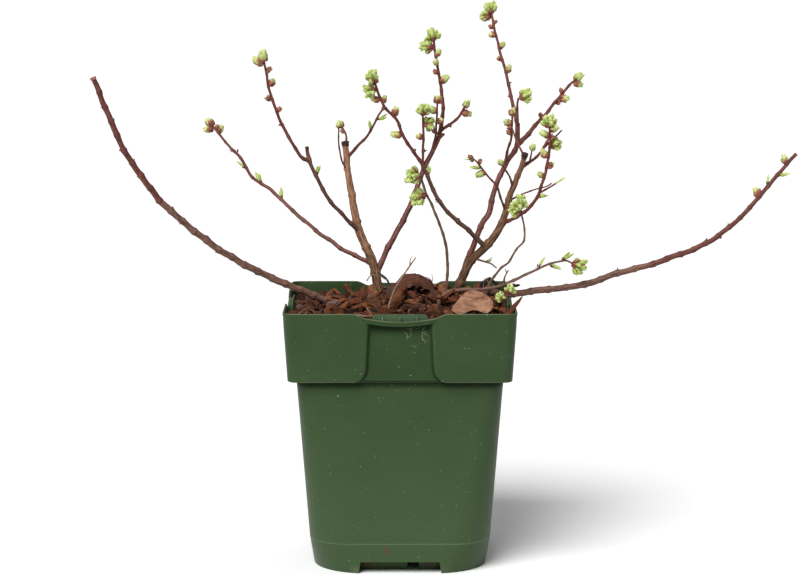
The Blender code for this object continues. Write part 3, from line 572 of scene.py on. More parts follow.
def smooth_path(corners):
    """Closely spaced points on a curve through the corners of a shoot."""
    ends = [2 * corners[0] - corners[1], *corners, 2 * corners[-1] - corners[-2]]
    points = [corners[0]]
    for before, start, stop, after in zip(ends, ends[1:], ends[2:], ends[3:]):
        count = max(1, round((stop - start).length / STEP_ALONG))
        for step in range(1, count + 1):
            t = step / count
            bend = (stop - before) * t + (2 * before - 5 * start + 4 * stop - after) * t**2
            bend += (3 * start - before - 3 * stop + after) * t**3
            points.append(start + bend / 2)
    return points


class Shoot:
    """One tapering shoot, with its buds listed from the tip down at even internodes."""

    def __init__(self, foot, runs, girth, buds="", internode=10):
        corners = [Vector(foot)]
        for length, rise, heading in runs:
            rise, heading = math.radians(rise), math.radians(heading)
            level = math.cos(rise)
            step = Vector((level * math.cos(heading), level * math.sin(heading), math.sin(rise)))
            corners.append(corners[-1] + step * length * MM)
        self.points = smooth_path(corners)
        self.ends = (girth[0] * MM / 2, girth[1] * MM / 2)
        self.buds = buds.split()
        self.internode = internode * MM
        self.length = sum((b - a).length for a, b in zip(self.points, self.points[1:]))
        self.flare = 0.3
        self.bud_size = 1
        self.lead = []

    def radius(self, along):
        """The plain radius at a distance from the foot."""
        return self.ends[0] + (self.ends[1] - self.ends[0]) * along / self.length

    def at(self, along):
        """The point and the direction at a distance from the foot."""
        for start, stop in zip(self.points, self.points[1:]):
            step = stop - start
            if along <= step.length or stop is self.points[-1]:
                return start + step.normalized() * along, step.normalized()
            along -= step.length

    def stations(self):
        """(point, radius) all along, with swollen nodes, a flared foot and small bends from node to node."""
        nodes = [
            self.length - place * self.internode for place in range(int(self.length / self.internode) + 1)]
        found = [(point, self.radius(0) * (1 + self.flare)) for point in self.lead]
        along = 0
        for index, point in enumerate(self.points):
            along += (point - self.points[index - 1]).length if index else 0
            radius = self.radius(along)
            swell = sum(math.exp(-(((along - place) / NODE_REACH) ** 2)) for place in nodes[1:])
            uneven = noise.noise(point * 90) * 0.09
            bend = noise.noise_vector(point * 85) * 0.75 * MM * min(1, along / STEADY_FOOT)
            bend *= min(1, (self.length - along) / STEADY_TIP)
            flare = self.flare * math.exp(-along / FLARE_REACH)
            found.append((point + bend, radius * (1 + NODE_SWELL * swell + uneven + flare)))
        return found


class Bush:
    """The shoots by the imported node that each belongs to, in their order of growth."""

    def __init__(self):
        self.nodes = {}

    def add(self, name, shoot):
        """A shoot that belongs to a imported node."""
        self.nodes.setdefault(name, []).append(shoot)
        return shoot

    def root(self, name, foot, runs, girth, **more):
        """A shoot that stands on the potting mix."""
        shoot = self.add(name, Shoot((foot[0] * MM, foot[1] * MM, MIX_TOP + GAP), runs, girth, **more))
        shoot.flare = 0.22
        return shoot

    def branch(self, name, parent, at, runs, girth, **more):
        """A side shoot that leaves its parent at a distance in millimetres from the parent's foot."""
        return self.add(name, Shoot(parent.at(at * MM)[0], runs, girth, **more))

    def extend(self, name, parent, runs, girth, **more):
        """The next length of a long limb, its skin drawn on from just inside the one below."""
        start, direction = parent.at(parent.length)
        shoot = self.add(name, Shoot(start + direction * 2 * GAP, runs, girth, **more))
        shoot.flare = 0
        shoot.lead = [start - direction * 2 * MM]
        return shoot


def new_tree(name, **kinds):
    """A tree of geometry nodes with named inputs, its input sockets and its output sockets."""
    tree = bpy.data.node_groups.new(name, "GeometryNodeTree")
    tree.interface.new_socket("Geometry", in_out="INPUT", socket_type="NodeSocketGeometry")
    for label, kind in kinds.items():
        tree.interface.new_socket(label.replace("_", " "), in_out="INPUT", socket_type="NodeSocket" + kind)
    tree.interface.new_socket("Geometry", in_out="OUTPUT", socket_type="NodeSocketGeometry")
    return tree, node(tree, "NodeGroupInput").outputs, node(tree, "NodeGroupOutput").inputs


def run_tree(name, start_mesh, tree, **values):
    """The plain mesh that a tree makes of a start mesh, as an object at the origin."""
    obj = bpy.data.objects.new(name, start_mesh)
    bpy.context.scene.collection.objects.link(obj)
    modifier = obj.modifiers.new(tree.name, "NODES")
    modifier.node_group = tree
    for item in tree.interface.items_tree:
        label = item.name.replace(" ", "_")
        if item.in_out == "INPUT" and label in values:
            modifier[item.identifier] = values[label]
    mesh = bpy.data.meshes.new_from_object(obj.evaluated_get(bpy.context.evaluated_depsgraph_get()))
    obj.modifiers.remove(modifier)
    obj.data = mesh
    return obj


def stored_layer(tree, label, kind):
    """What a tree of nodes reads from the values kept at the points."""
    return node(tree, "GeometryNodeInputNamedAttribute", {"Name": label}, data_type=kind).outputs["Attribute"]


skin_tree, given, result = new_tree(
    "stem_skin", Sides="Int", Relief="Float", Grain="Float", Finish="Material")
curve = node(skin_tree, "GeometryNodeMeshToCurve", {0: given["Geometry"]}).outputs[0]
girth = stored_layer(skin_tree, "girth", "FLOAT")
shift = stored_layer(skin_tree, "shift", "FLOAT")
along = node(skin_tree, "GeometryNodeSplineParameter").outputs["Length"]
path = node(
    skin_tree, "GeometryNodeStoreNamedAttribute", {"Geometry": curve, "Name": "along"}, data_type="FLOAT",
    domain="POINT")
skin_tree.links.new(calc(skin_tree, "ADD", along, shift), path.inputs["Value"])
circle = node(skin_tree, "GeometryNodeCurvePrimitiveCircle", {"Resolution": given["Sides"], "Radius": 1.0})
around = node(
    skin_tree, "GeometryNodeStoreNamedAttribute", {"Geometry": circle.outputs["Curve"], "Name": "around"},
    data_type="FLOAT_VECTOR", domain="POINT")
skin_tree.links.new(node(skin_tree, "GeometryNodeInputPosition").outputs[0], around.inputs["Value"])
sweep = node(skin_tree, "GeometryNodeCurveToMesh", {
    "Curve": path.outputs[0], "Profile Curve": around.outputs[0], "Scale": girth, "Fill Caps": True})
read_around = stored_layer(skin_tree, "around", "FLOAT_VECTOR")
read_along = stored_layer(skin_tree, "along", "FLOAT")
split = node(skin_tree, "ShaderNodeSeparateXYZ", {"Vector": read_around})
grain = node(skin_tree, "ShaderNodeCombineXYZ", {"X": split.outputs["X"], "Y": split.outputs["Y"],
                                                 "Z": calc(skin_tree, "MULTIPLY", read_along, 100)})
stored = node(
    skin_tree, "GeometryNodeStoreNamedAttribute",
    {"Geometry": sweep.outputs[0], "Name": "grain", "Value": grain.outputs[0]}, data_type="FLOAT_VECTOR",
    domain="POINT")
ripples = node(
    skin_tree, "ShaderNodeTexNoise", {"Vector": grain.outputs[0], "Scale": given["Grain"], "Detail": 3})
rise = calc(skin_tree, "MULTIPLY", calc(skin_tree, "SUBTRACT", ripples.outputs["Fac"], 0.5), given["Relief"])
rise = calc(skin_tree, "MULTIPLY", rise, girth)
outward = node(skin_tree, "ShaderNodeVectorMath", {
    0: node(skin_tree, "GeometryNodeInputNormal").outputs[0], "Scale": rise}, operation="SCALE").outputs[0]
moved = node(skin_tree, "GeometryNodeSetPosition", {"Geometry": stored.outputs[0], "Offset": outward})
smoothed = node(skin_tree, "GeometryNodeSetShadeSmooth", {"Geometry": moved.outputs[0]})
realized = node(skin_tree, "GeometryNodeRealizeInstances", {"Geometry": smoothed.outputs[0]})
finished = node(
    skin_tree, "GeometryNodeSetMaterial", {"Geometry": realized.outputs[0], "Material": given["Finish"]})
skin_tree.links.new(finished.outputs[0], result["Geometry"])


def paths_mesh(name, paths, seed):
    """A mesh of bare edges along paths of (point, radius), each with a shift of its own for the grain."""
    rng = random.Random(seed)
    points, edges, girths, shifts = [], [], [], []
    for path_points in paths:
        first = len(points)
        points += [point for point, _ in path_points]
        girths += [radius for _, radius in path_points]
        shifts += [rng.uniform(0, 5)] * len(path_points)
        edges += [(index, index + 1) for index in range(first, len(points) - 1)]
    mesh = bpy.data.meshes.new(name)
    mesh.from_pydata(points, edges, [])
    write_layer(mesh, "girth", "FLOAT", girths)
    write_layer(mesh, "shift", "FLOAT", shifts)
    return mesh


def draw_stems(name, paths, seed, sides, relief, grain, finish):
    """One skin along each of these paths of (point, radius), as one object."""
    start = paths_mesh(name, paths, seed)
    return run_tree(name, start, skin_tree, Sides=sides, Relief=relief, Grain=grain, Finish=finish)


def bark_finish(
        name, light, dark, fleck, stretch=3.0, contrast=(0.4, 0.62), roughness=0.62, specks=0.66, above=None
):
    """A bark of two colours streaked lengthwise, with dark patches, small flecks and fine relief.

    It weathers to another colour with height where above gives the level where that begins, the level
    where it is full, the full share and the colour.
    """
    finish, tree, shader = new_finish(name, roughness, Specular_IOR_Level=0.2)
    grain = layer_of(tree, "grain", "Vector")
    streaks = node(
        tree, "ShaderNodeMapping", {"Vector": grain, "Scale": (stretch, stretch, 1)}).outputs["Vector"]
    streaks = noise_on(tree, streaks, Scale=1.1, Detail=6, Roughness=0.65)
    colour = ramp(tree, streaks, (contrast[0], dark), (contrast[1], light))
    broad = noise_on(tree, grain, Scale=0.45, Detail=3)
    colour = shade_over(tree, colour, (*dark, 1), span(tree, broad, 0.55, 0.75, 0, 0.5))
    patches = noise_on(tree, grain, Scale=1.6, Detail=4, Roughness=0.7)
    colour = shade_over(
        tree, colour, (*(value * 0.35 for value in dark), 1), span(tree, patches, 0.58, 0.70, 0, 0.75))
    if above:
        begins, full, share, weathered = above
        height = node(tree, "ShaderNodeSeparateXYZ", {"Vector": object_coords(tree)}).outputs["Z"]
        share = calc(
            tree, "MULTIPLY", span(tree, height, begins, full, 0, share),
            span(tree, streaks, 0.36, 0.56, 0.3, 1))
        colour = shade_over(tree, colour, (*weathered, 1), share)
    spots = noise_on(tree, grain, Scale=5.5, Detail=1)
    colour = shade_over(tree, colour, (*fleck, 1), span(tree, spots, specks, specks + 0.05, 0, 0.7))
    tree.links.new(colour, shader.inputs["Base Color"])
    add_bump(tree, shader, streaks, 0.5, 0.0004)
    return finish


def dress_limbs(name, finish, nodes, sides, relief, grain, seed):
    """One piece of bark in place of these packed limbs."""
    paths = [shoot.stations() for each in nodes for shoot in bush.nodes[each]]
    piece = draw_stems(name, paths, seed, sides, relief, grain, finish)
    piece.data.set_sharp_from_angle(angle=math.radians(60))
    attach(piece, "root")
    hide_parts(*nodes)


bush = Bush()

# The canes: two long shoots of last year that lie low over the rim and arch up at their ends. Their lower
# lengths are grey brown wood with dark nodes, and their ends are a smoother purple.
low = [(35, 26, -174), (29, 23, -171), (48, 27, -168), (41, 35, -166), (44, 42, -166)]
left = bush.root("cane_left", (-36, 24), low, (6.2, 5.4), buds=". sR sL . sR sL sR . sL", internode=13)
high = [(31, 55, -164), (21, 57, -160), (24, 66, -155), (41, 68, -161)]
bush.extend("cane_left_end", left, high, (5.4, 4.4), buds=". sR sL sR . sL sR sL", internode=13)
low = [(27, 66, 16), (31, -1, 13), (61, 6, 8), (30, 17, 8), (31, 13, 8)]
right = bush.root("cane_right", (52, -22), low, (6, 5), buds=". . sL . sR . sL", internode=15)
high = [(52, 21, 7), (42, 38, 10), (34, 49, 10), (29, 47, 12)]
bush.extend("cane_right_end", right, high, (5, 3), buds=". FL lR lL FL . sR sL sR sL . sR", internode=12)
cane_bark = bark_finish(
    "cane_bark", (0.1936, 0.0930, 0.0640), (0.0513, 0.0240, 0.0185), (0.288, 0.2025, 0.14))
dress_limbs("cane_bark", cane_bark, ["cane_left", "cane_right"], 14, 0.16, 2.2, 3)
end_bark = bark_finish(
    "cane_end_bark", (0.1640, 0.0475, 0.0335), (0.0490, 0.0135, 0.0118), (0.255, 0.154, 0.119))
dress_limbs("cane_end_bark", end_bark, ["cane_left_end", "cane_right_end"], 14, 0.10, 2.2, 4)

# The left stool: a trunk of cracked tan bark, cut back and paler at its top. A brown bough and a smooth
# purple one grow to its left, a purple one to its right, and budded twigs grow on from each.
rise = [(47, 78, 174), (30, 65, 161), (30, 74, 132), (19, 73, 132), (28, 77, 112)]
trunk = bush.root("trunk_left", (-13, 11), rise, (8.6, 5), internode=23)
reach = [(17, 45, -20), (12, 47, -22), (20, 57, -35), (6, 54, -32)]
bush.branch("twigs_left_top_a", trunk, 140, reach, (2.8, 1.6), buds="b lR lL", internode=11)
bush.branch(
    "twigs_left_top_b", trunk, 145, [(15, 67, 88), (9, 60, 154)], (1.8, 1.5), buds="f bL", internode=6)
bush.branch("twigs_left_top_c", trunk, 128, [(18, 63, -143), (26, 67, -93)], (1.5, 1.2), buds="f")
reach = [(25, 41, -139), (20, 46, -145), (37, 57, -136)]
middle = bush.branch("bough_left_mid", trunk, 77, reach, (3.6, 3), buds=". lR", internode=14)
bush.branch("bough_left_mid", middle, 81, [(13.5, 79, 178)], (3.1, 2.8))
reach = [(11, 35, -158), (24, 60, -158), (25, 64, -146), (25, 74, -141), (12, 76, -131)]
left_twig = bush.extend("twigs_left_mid", middle, reach, (3, 2), buds="F+FL bR fR bL bR sL", internode=11.5)
left_twig.bud_size = 1.2
reach = [(35, 22, 157), (39, 31, 151), (42, 37, 151)]
low = bush.branch("bough_left_low", trunk, 47, reach, (3.8, 3), buds=". lR", internode=14)
reach = [(20, 27, 154), (17, 58, 153), (18, 42, 154), (24, 46, 157)]
low_twig = bush.extend(
    "twigs_left_low", low, reach, (3, 2), buds="F+FL+bR fR . sL+sR . lL . lR", internode=10)
low_twig.bud_size = 1.12
reach = [(28, 58, 38), (35, 57, 31), (35, 63, 40), (32, 62, 28)]
centre = bush.branch("bough_centre", trunk, 38, reach, (5, 4.2), internode=26)
bush.branch("bough_centre", centre, 128, [(7, 42, -8)], (2.6, 2.2))
reach = [(23, 74, 56), (26, 81, 131), (17, 77, 150), (18, 80, 139)]
leader = bush.extend("twigs_centre", centre, reach, (3.4, 2), buds="O OL fR fF bL FR", internode=7.4)
bush.branch(
    "twigs_centre", leader, 5, [(20, 36, -22), (13, 55, -33)], (2.6, 2), buds="F FR . sR", internode=8)
reach = [(28, 80, -83), (24, 81, -95)]
bush.branch("twigs_centre_left", centre, 96, reach, (2.4, 1.8), buds="O OR fL sR", internode=11)
reach = [(19, 74, -40), (26, 85, -60)]
bush.branch("twigs_centre_front", centre, 115, reach, (2, 1.6), buds="F FL fR bL . sR", internode=9)
tan_bark = bark_finish(
    "tan_trunk_bark", (0.272, 0.136, 0.070), (0.0272, 0.0165, 0.0086), (0.336, 0.2325, 0.14), 4.5,
    (0.42, 0.61), 0.8, above=(0.25, 0.34, 0.6, (0.39, 0.185, 0.115)))
dress_limbs("trunk_left_bark", tan_bark, ["trunk_left"], 20, 0.44, 2.4, 5)

# The right stool: an olive brown trunk cut back at its top, the tall purple bough behind it, the brown one
# that crosses to the left, and the arm, the leader and the twigs between them. The two barks of the
# boughs, smooth purple and duller brown, dress both stools.
rise = [(46, 69, -7), (35, 49, -10), (24, 66, -18), (19, 72, -30), (22, 67, -20), (12, 75, -39)]
trunk = bush.root("trunk_right", (40, 11), rise, (8.4, 4.2), internode=21)
rise = [(23, 68, 27), (30, 66, 29), (15, 55, 28), (20, 68, 54), (23, 62, 28), (18, 59, 13), (19, 86, 52)]
tall = bush.branch("bough_right_tall", trunk, 30, rise, (5.6, 4), internode=24)
bush.branch("bough_right_tall", tall, 146, [(6, 80, 150)], (3, 2.6))
reach = [(14, 44, 17), (24, 46, 21), (28, 49, 12), (11, 44, 10)]
bush.branch("twigs_right_arm", tall, 129, reach, (4, 2), buds="F+FR . bL+FR bR . bL . sR", internode=9)
reach = [(24, 67, 121), (27, 67, 123), (30, 69, 133), (21, 72, 129)]
bush.branch("twigs_top", tall, 146, reach, (3.2, 2), buds="O+OL bR+bL fL fR bL fR sR sL", internode=10.8)
bush.branch("twigs_right_open", tall, 143, [(20, 69, -95), (9, 70, -80)], (2.2, 1.8), buds="OR")
reach = [(16, 63, -76), (13, 63, -58), (20, 78, -82)]
bush.branch("twigs_right_back", tall, 109, reach, (2.4, 1.8), buds="F FL bL", internode=9)
reach = [(24, 38, -137), (32, 40, -151), (21, 54, -139), (26, 58, -133)]
cross = bush.branch("bough_cross", trunk, 70, reach, (4, 3), buds=". lR . sL . sR", internode=13)
reach = [(30, 50, -141), (16, 60, -133), (17, 45, -150), (24, 62, -138)]
bush.extend("twigs_cross", cross, reach, (3, 2), buds="O+bR OL FL+fR . FR . FL . sR", internode=9.3)
reach = [(23, 26, -36), (20, 44, -34), (22, 68, -44), (22, 74, -54), (20, 78, -96)]
riser = bush.branch(
    "twigs_right_low", trunk, 94, reach, (3.2, 2), buds="O+FR FL+bR OR FL fR fL . lR", internode=9)
bush.branch("twigs_right_low", riser, 48, [(11, 29, -30), (6, 34, -23)], (1.6, 1.4), buds="v")
bush.branch("twig_right_bare", trunk, 115, [(19, 22, 23), (15, 13, 15), (7, 25, 17)], (1.5, 1.1))
reach = [(18, 53, -115), (12, 56, -132), (24, 49, -154), (8, 38, -153)]
bush.branch("twig_front_left", trunk, 105, reach, (2, 1.4), buds="b+lL bR+lL FL", internode=9)
bush.branch("twig_front_short", trunk, 126, [(14, 55, -115), (14, 51, -138)], (1.8, 1.4), buds="f")
side = bush.branch("twigs_right_side", trunk, 145, [(21, 30, 36), (17, 54, 23)], (2.8, 1.8), buds="b")
bush.branch("twigs_right_side", side, 27, [(15, 33, 39), (10, 39, 31)], (2, 0.9))
bush.branch("twigs_right_side", side, 10, [(14, 55, -79)], (1.4, 1.2), buds="f")
bush.branch("twig_trunk_top", trunk, 155, [(12, 51, 128), (15, 59, 129)], (1.6, 1.3), buds="bL")
reach = [(16, -9, -39), (9, -21, -43)]
foot_twig = bush.branch("twig_trunk_foot", trunk, 56, reach, (1.8, 1.3), buds=". lL", internode=12)
foot_twig.bud_size = 0.75
olive_bark = bark_finish(
    "olive_trunk_bark", (0.214, 0.106, 0.054), (0.0252, 0.0143, 0.0071), (0.288, 0.2025, 0.119), 4,
    (0.41, 0.61), 0.78, above=(0.27, 0.34, 0.35, (0.29, 0.125, 0.07)))
dress_limbs("trunk_right_bark", olive_bark, ["trunk_right"], 20, 0.44, 2.2, 6)
bough_bark = bark_finish(
    "bough_bark", (0.1822, 0.0577, 0.0404), (0.05, 0.0143, 0.0129), (0.374, 0.248, 0.1875), 1.6, (0.36, 0.66),
    0.5)
dress_limbs(
    "bough_bark", bough_bark, ["bough_left_low", "bough_centre", "bough_right_tall"], 14, 0.08, 2,
    7)
brown_bark = bark_finish(
    "brown_bough_bark", (0.158, 0.068, 0.047), (0.045, 0.020, 0.015), (0.30, 0.20, 0.14), 1.8, (0.36, 0.66),
    0.55)
dress_limbs("brown_bough_bark", brown_bark, ["bough_left_mid", "bough_cross"], 14, 0.12, 2, 15)

# The small shoots: thin brown stems that rise from the mulch round the two stools, and one dead pale twig.
# The dark red bark of the budded twigs is laid here too, once all of them have grown. The twig at the foot
# of the right trunk wears the brown one.
reach = [(57, 87, -66), (30, 72, -140), (30, 63, -149), (13, 71, -138)]
centre_shoot = bush.root("shoot_centre", (38, -11), reach, (2.7, 2), buds="OL . OL", internode=9)
centre_shoot.bud_size = 1.22
reach = [(32, 76, -15), (18, 58, -18), (10, 42, -15), (13, 58, -27), (12, 54, -24), (27, 76, -119)]
bush.root("shoot_front", (66, -20), reach, (2.4, 1.4), buds="O+OL")
reach = [(29, 69, 11), (36, 5, 5), (22, 17, 14), (25, 24, 10), (20, 15, 12), (10, -19, 13)]
low_shoot = bush.root("shoot_low_right", (28, -32), reach, (3.8, 1.5), buds="O lL lR lL", internode=11)
low_shoot.bud_size = 1.2
stub = bush.branch("shoot_low_right", low_shoot, 79, [(6, 84, 20), (7, 60, 25)], (1.5, 1))
bush.branch("shoot_low_right", stub, 10, [(4, 70, 170)], (0.9, 0.6))
rim_shoot = bush.root(
    "shoot_rim", (80, -60), [(22, 80, 10), (12, 60, 30)], (2, 1.6), buds="O OL", internode=9)
rim_shoot.bud_size = 0.78
dry = bush.root("dry_twig", (-10, -50), [(25, 83, 37), (24, 61, 10), (16, 52, 24)], (2, 1.1), internode=11)
bush.branch("dry_twig", dry, 57, [(5, 86, 60), (3, 50, 20)], (1, 0.5))
shoot_bark = bark_finish(
    "shoot_bark", (0.185, 0.098, 0.062), (0.060, 0.030, 0.020), (0.34, 0.25, 0.18), 1.6, (0.36, 0.64), 0.6)
dress_limbs(
    "shoot_bark", shoot_bark,
    ["shoot_centre", "shoot_front", "shoot_low_right", "twig_trunk_foot"], 10, 0.12, 2, 14)
twig_bark = bark_finish(
    "twig_bark", (0.1781, 0.043, 0.0291), (0.0405, 0.0098, 0.0081), (0.304, 0.18, 0.119), 1.4, (0.34, 0.66),
    0.52)
twigs = [name for name in bush.nodes if name.startswith("twig") and name != "twig_trunk_foot"] + ["shoot_rim"]
dress_limbs("twig_bark", twig_bark, twigs, 9, 0.10, 2, 8)
dry_bark = bark_finish(
    "dry_bark", (0.30, 0.195, 0.12), (0.11, 0.062, 0.036), (0.42, 0.32, 0.22), 2, (0.36, 0.66), 0.85)
dress_limbs("dry_twig_bark", dry_bark, ["dry_twig"], 8, 0.10, 2, 9)

# The buds: closed ones in overlapping red brown scales with a green point, open clusters of yellow green
# flower buds that burst from such scales, and tufts of the first slender leaves. Each kind has a few
# patterns, which one tree of nodes sets on the shoots, scales, greens and leaves apart.
# By the letter of a bud: O an open cluster, F and f a large and a small bursting bud, b a brown one, s a
# small dormant one, l and v young leaves. The second letter is the side that it stands on, none for the tip.
SIDES = {"R": 0, "B": 90, "L": 180, "F": 270}
BUD_SIZES = {"F": (9.6, 6.3), "f": (7.8, 5.2), "b": (5, 3.6), "s": (3, 2.4), "l": (4.4, 2.8), "v": (3, 2)}
BUD_LEAN = {"O": 70, "F": 62, "f": 50, "b": 48, "l": 38, "s": 48}
TIP_SUNK = {"O": 2.4, "F": 2.2, "f": 1.8, "b": 1, "v": 0.6}
PATTERNS = 5
SCALE_COUNT = {"F": 8, "f": 7, "b": 7, "s": 3, "l": 3, "v": 2}
SCALE_COVER = {"F": 0.5, "f": 0.52, "b": 0.86, "s": 0.95, "l": 0.7, "v": 0.7}


def add_pod(builder, place, length, width, thick, sides, rows, ridges=0, depth=0.0, swell=0.55, point=0.75):
    """Adds a closed pod from its root to its point along +Z, with ridges round it."""
    layers = builder.verts.layers.float
    crease_shade_layer = layers.get("crease") or layers.new("crease")
    up = layers.get("up") or layers.new("up")
    full = (swell / (swell + point)) ** swell * (point / (swell + point)) ** point
    loops = []
    for row in range(1, rows):
        t = (1 - math.cos(math.pi * row / rows)) / 2
        share = t**swell * (1 - t) ** point / full / 2
        loop = []
        for step in range(sides):
            angle = 2 * math.pi * step / sides
            ridge = share * (1 + depth * math.cos(ridges * angle))
            spot = place @ Vector(
                (width * ridge * math.cos(angle), thick * ridge * math.sin(angle), length * t))
            crumple = noise.noise_vector(
                spot * 700 + Vector((0, 0, len(builder.verts) * 0.01))) * width * 0.07
            loop.append(builder.verts.new(spot + crumple))
            # How deep in a crease or near the root each point lies, kept for painted shade.
            loop[-1][crease_shade_layer] = (0.5 - 0.5 * math.cos(ridges * angle)) * (1 - t)
            loop[-1][up] = t
        loops.append(loop)
    root = builder.verts.new(place @ Vector((0, 0, 0)))
    tip = builder.verts.new(place @ Vector((0, 0, length)))
    root[crease_shade_layer], tip[up] = 1, 1
    for step in range(sides):
        after = (step + 1) % sides
        builder.faces.new((root, loops[0][after], loops[0][step]))
        builder.faces.new((tip, loops[-1][step], loops[-1][after]))
        for lower, upper in zip(loops, loops[1:]):
            builder.faces.new((lower[step], lower[after], upper[after], upper[step]))


def leaning(aside, turn, lift, lean):
    """The place of a part of a bud: aside from its axis, turned round it, lifted and leaning out."""
    return (Matrix.Rotation(turn, 4, "Z") @ Matrix.Translation((aside * MM, 0, lift * MM))
            @ Matrix.Rotation(lean, 4, "Y"))


def scale_pattern(kind, rng):
    """The brown scales of one bud, cupped round its foot."""
    builder = bmesh.new()
    if kind == "O":
        for index in range(9):
            turn = index * 2.4 + rng.uniform(-0.3, 0.3)
            place = leaning(1.3, turn, 0.22 * index, rng.uniform(0.3, 0.85))
            add_pod(builder, place, rng.uniform(4.4, 7.4) * MM, 1.2 * MM, 3.4 * MM, 6, 5)
        add_pod(builder, Matrix(), 5.6 * MM, 4 * MM, 4 * MM, 7, 4)
        return builder
    length, width = BUD_SIZES[kind]
    for index in range(SCALE_COUNT[kind]):
        rise = index / SCALE_COUNT[kind]
        aside = width * (0.30 - 0.14 * rise) if kind in "Ff" else width * (0.24 - 0.12 * rise)
        place = leaning(
            aside, index * 2.4 + rng.uniform(-0.25, 0.25), length * (0.1 if kind in "Ff" else 0.34) * rise,
            0.30 - 0.2 * rise + rng.uniform(-0.05, 0.08))
        size = length * SCALE_COVER[kind] * rng.uniform(0.75, 1.45 if kind in "Ff" else 1.1)
        add_pod(builder, place, size * MM, width * 0.30 * MM, width * 0.74 * MM, 6, 5, swell=0.5, point=0.62)
    if kind in "Ff":
        add_pod(builder, Matrix(), length * 0.4 * MM, width * 0.8 * MM, width * 0.8 * MM, 8, 4)
    return builder


def green_pattern(kind, rng):
    """The green part of one bud."""
    builder = bmesh.new()
    if kind != "O":
        length, width = BUD_SIZES[kind]
        bend = Matrix.Rotation(rng.uniform(-0.12, 0.12), 4, "X")
        add_pod(builder, bend, length * 0.94 * MM, width * MM, width * 0.94 * MM, 12, 8, 6, 0.08, 0.55, 0.6)
        for index in range(3):
            place = bend @ leaning(
                width * 0.13, index * 2.1 + rng.uniform(-0.4, 0.4), length * 0.42, rng.uniform(0.1, 0.32))
            add_pod(
                builder, place, length * rng.uniform(0.46, 0.62) * MM, width * 0.42 * MM, width * 0.48 * MM,
                8, 6, 4, 0.08, 0.5, 0.75)
        return builder
    lobes = [(0.2, 0, 4.2, 0.08, rng.uniform(6, 7.8))]
    lobes += [(1.3, index * 1.26, 3.6, rng.uniform(0.26, 0.7), rng.uniform(5.4, 8.4)) for index in range(5)]
    lobes += [
        (1.7, 0.6 + index * 1.57, 3, rng.uniform(0.8, 1.35), rng.uniform(4.2, 6.6)) for index in range(4)]
    for aside, turn, lift, lean, length in lobes:
        place = leaning(aside, turn + rng.uniform(-0.3, 0.3), lift, lean)
        width = rng.uniform(3.2, 4.7)
        add_pod(
            builder, place, length * MM, width * MM, width * rng.uniform(0.65, 0.9) * MM, 10, 7, 5, 0.2, 0.46,
            0.72)
        for tooth in range(3):
            point_out = place @ leaning(
                width * 0.22, tooth * 2.1 + rng.uniform(0, 1), length * rng.uniform(0.38, 0.55),
                rng.uniform(0.15, 0.7))
            add_pod(
                builder, point_out, length * 0.46 * MM, width * 0.30 * MM, width * 0.44 * MM, 6, 5, 3, 0.12,
                0.5, 0.95)
    return builder


def leaf_pattern(kind, rng):
    """One or two slender leaves that are just unfolding."""
    builder = bmesh.new()
    if kind == "v":
        add_pod(
            builder, Matrix.Rotation(0.1, 4, "X"), 14 * MM, 1.3 * MM, 5.4 * MM, 8, 9, swell=0.7, point=0.8)
        return builder
    for index in range(rng.choice((1, 2, 2))):
        place = leaning(0.3, index * 2.6 + rng.uniform(-0.3, 0.3), 0.8, rng.uniform(0.05, 0.3))
        add_pod(
            builder, place, rng.uniform(7, 10.5) * MM, 0.9 * MM, rng.uniform(2.5, 3.6) * MM, 8, 7, swell=0.7,
            point=0.9)
    return builder


set_tree, given, result = new_tree("set_buds", Patterns="Collection", Finish="Material")
patterns = node(set_tree, "GeometryNodeCollectionInfo", {
    "Collection": given["Patterns"], "Separate Children": True, "Reset Children": True}).outputs[0]
aim = stored_layer(set_tree, "aim", "FLOAT_VECTOR")
spin = stored_layer(set_tree, "spin", "FLOAT")
size = stored_layer(set_tree, "size", "FLOAT")
pick = stored_layer(set_tree, "pick", "INT")
facing = node(set_tree, "FunctionNodeAlignRotationToVector", {"Vector": aim}, axis="Z")
turned = node(set_tree, "FunctionNodeAxisAngleToRotation", {"Axis": (0, 0, 1), "Angle": spin})
spun = node(set_tree, "FunctionNodeRotateRotation", {
    "Rotation": facing.outputs[0], "Rotate By": turned.outputs[0]}, rotation_space="LOCAL")
placed = node(set_tree, "GeometryNodeInstanceOnPoints", {
    "Points": given["Geometry"], "Instance": patterns, "Pick Instance": True, "Instance Index": pick,
    "Rotation": spun.outputs[0], "Scale": size})
realized = node(set_tree, "GeometryNodeRealizeInstances", {"Geometry": placed.outputs[0]})
smoothed = node(set_tree, "GeometryNodeSetShadeSmooth", {"Geometry": realized.outputs[0]})
finished = node(
    set_tree, "GeometryNodeSetMaterial", {"Geometry": smoothed.outputs[0], "Material": given["Finish"]})
set_tree.links.new(finished.outputs[0], result["Geometry"])


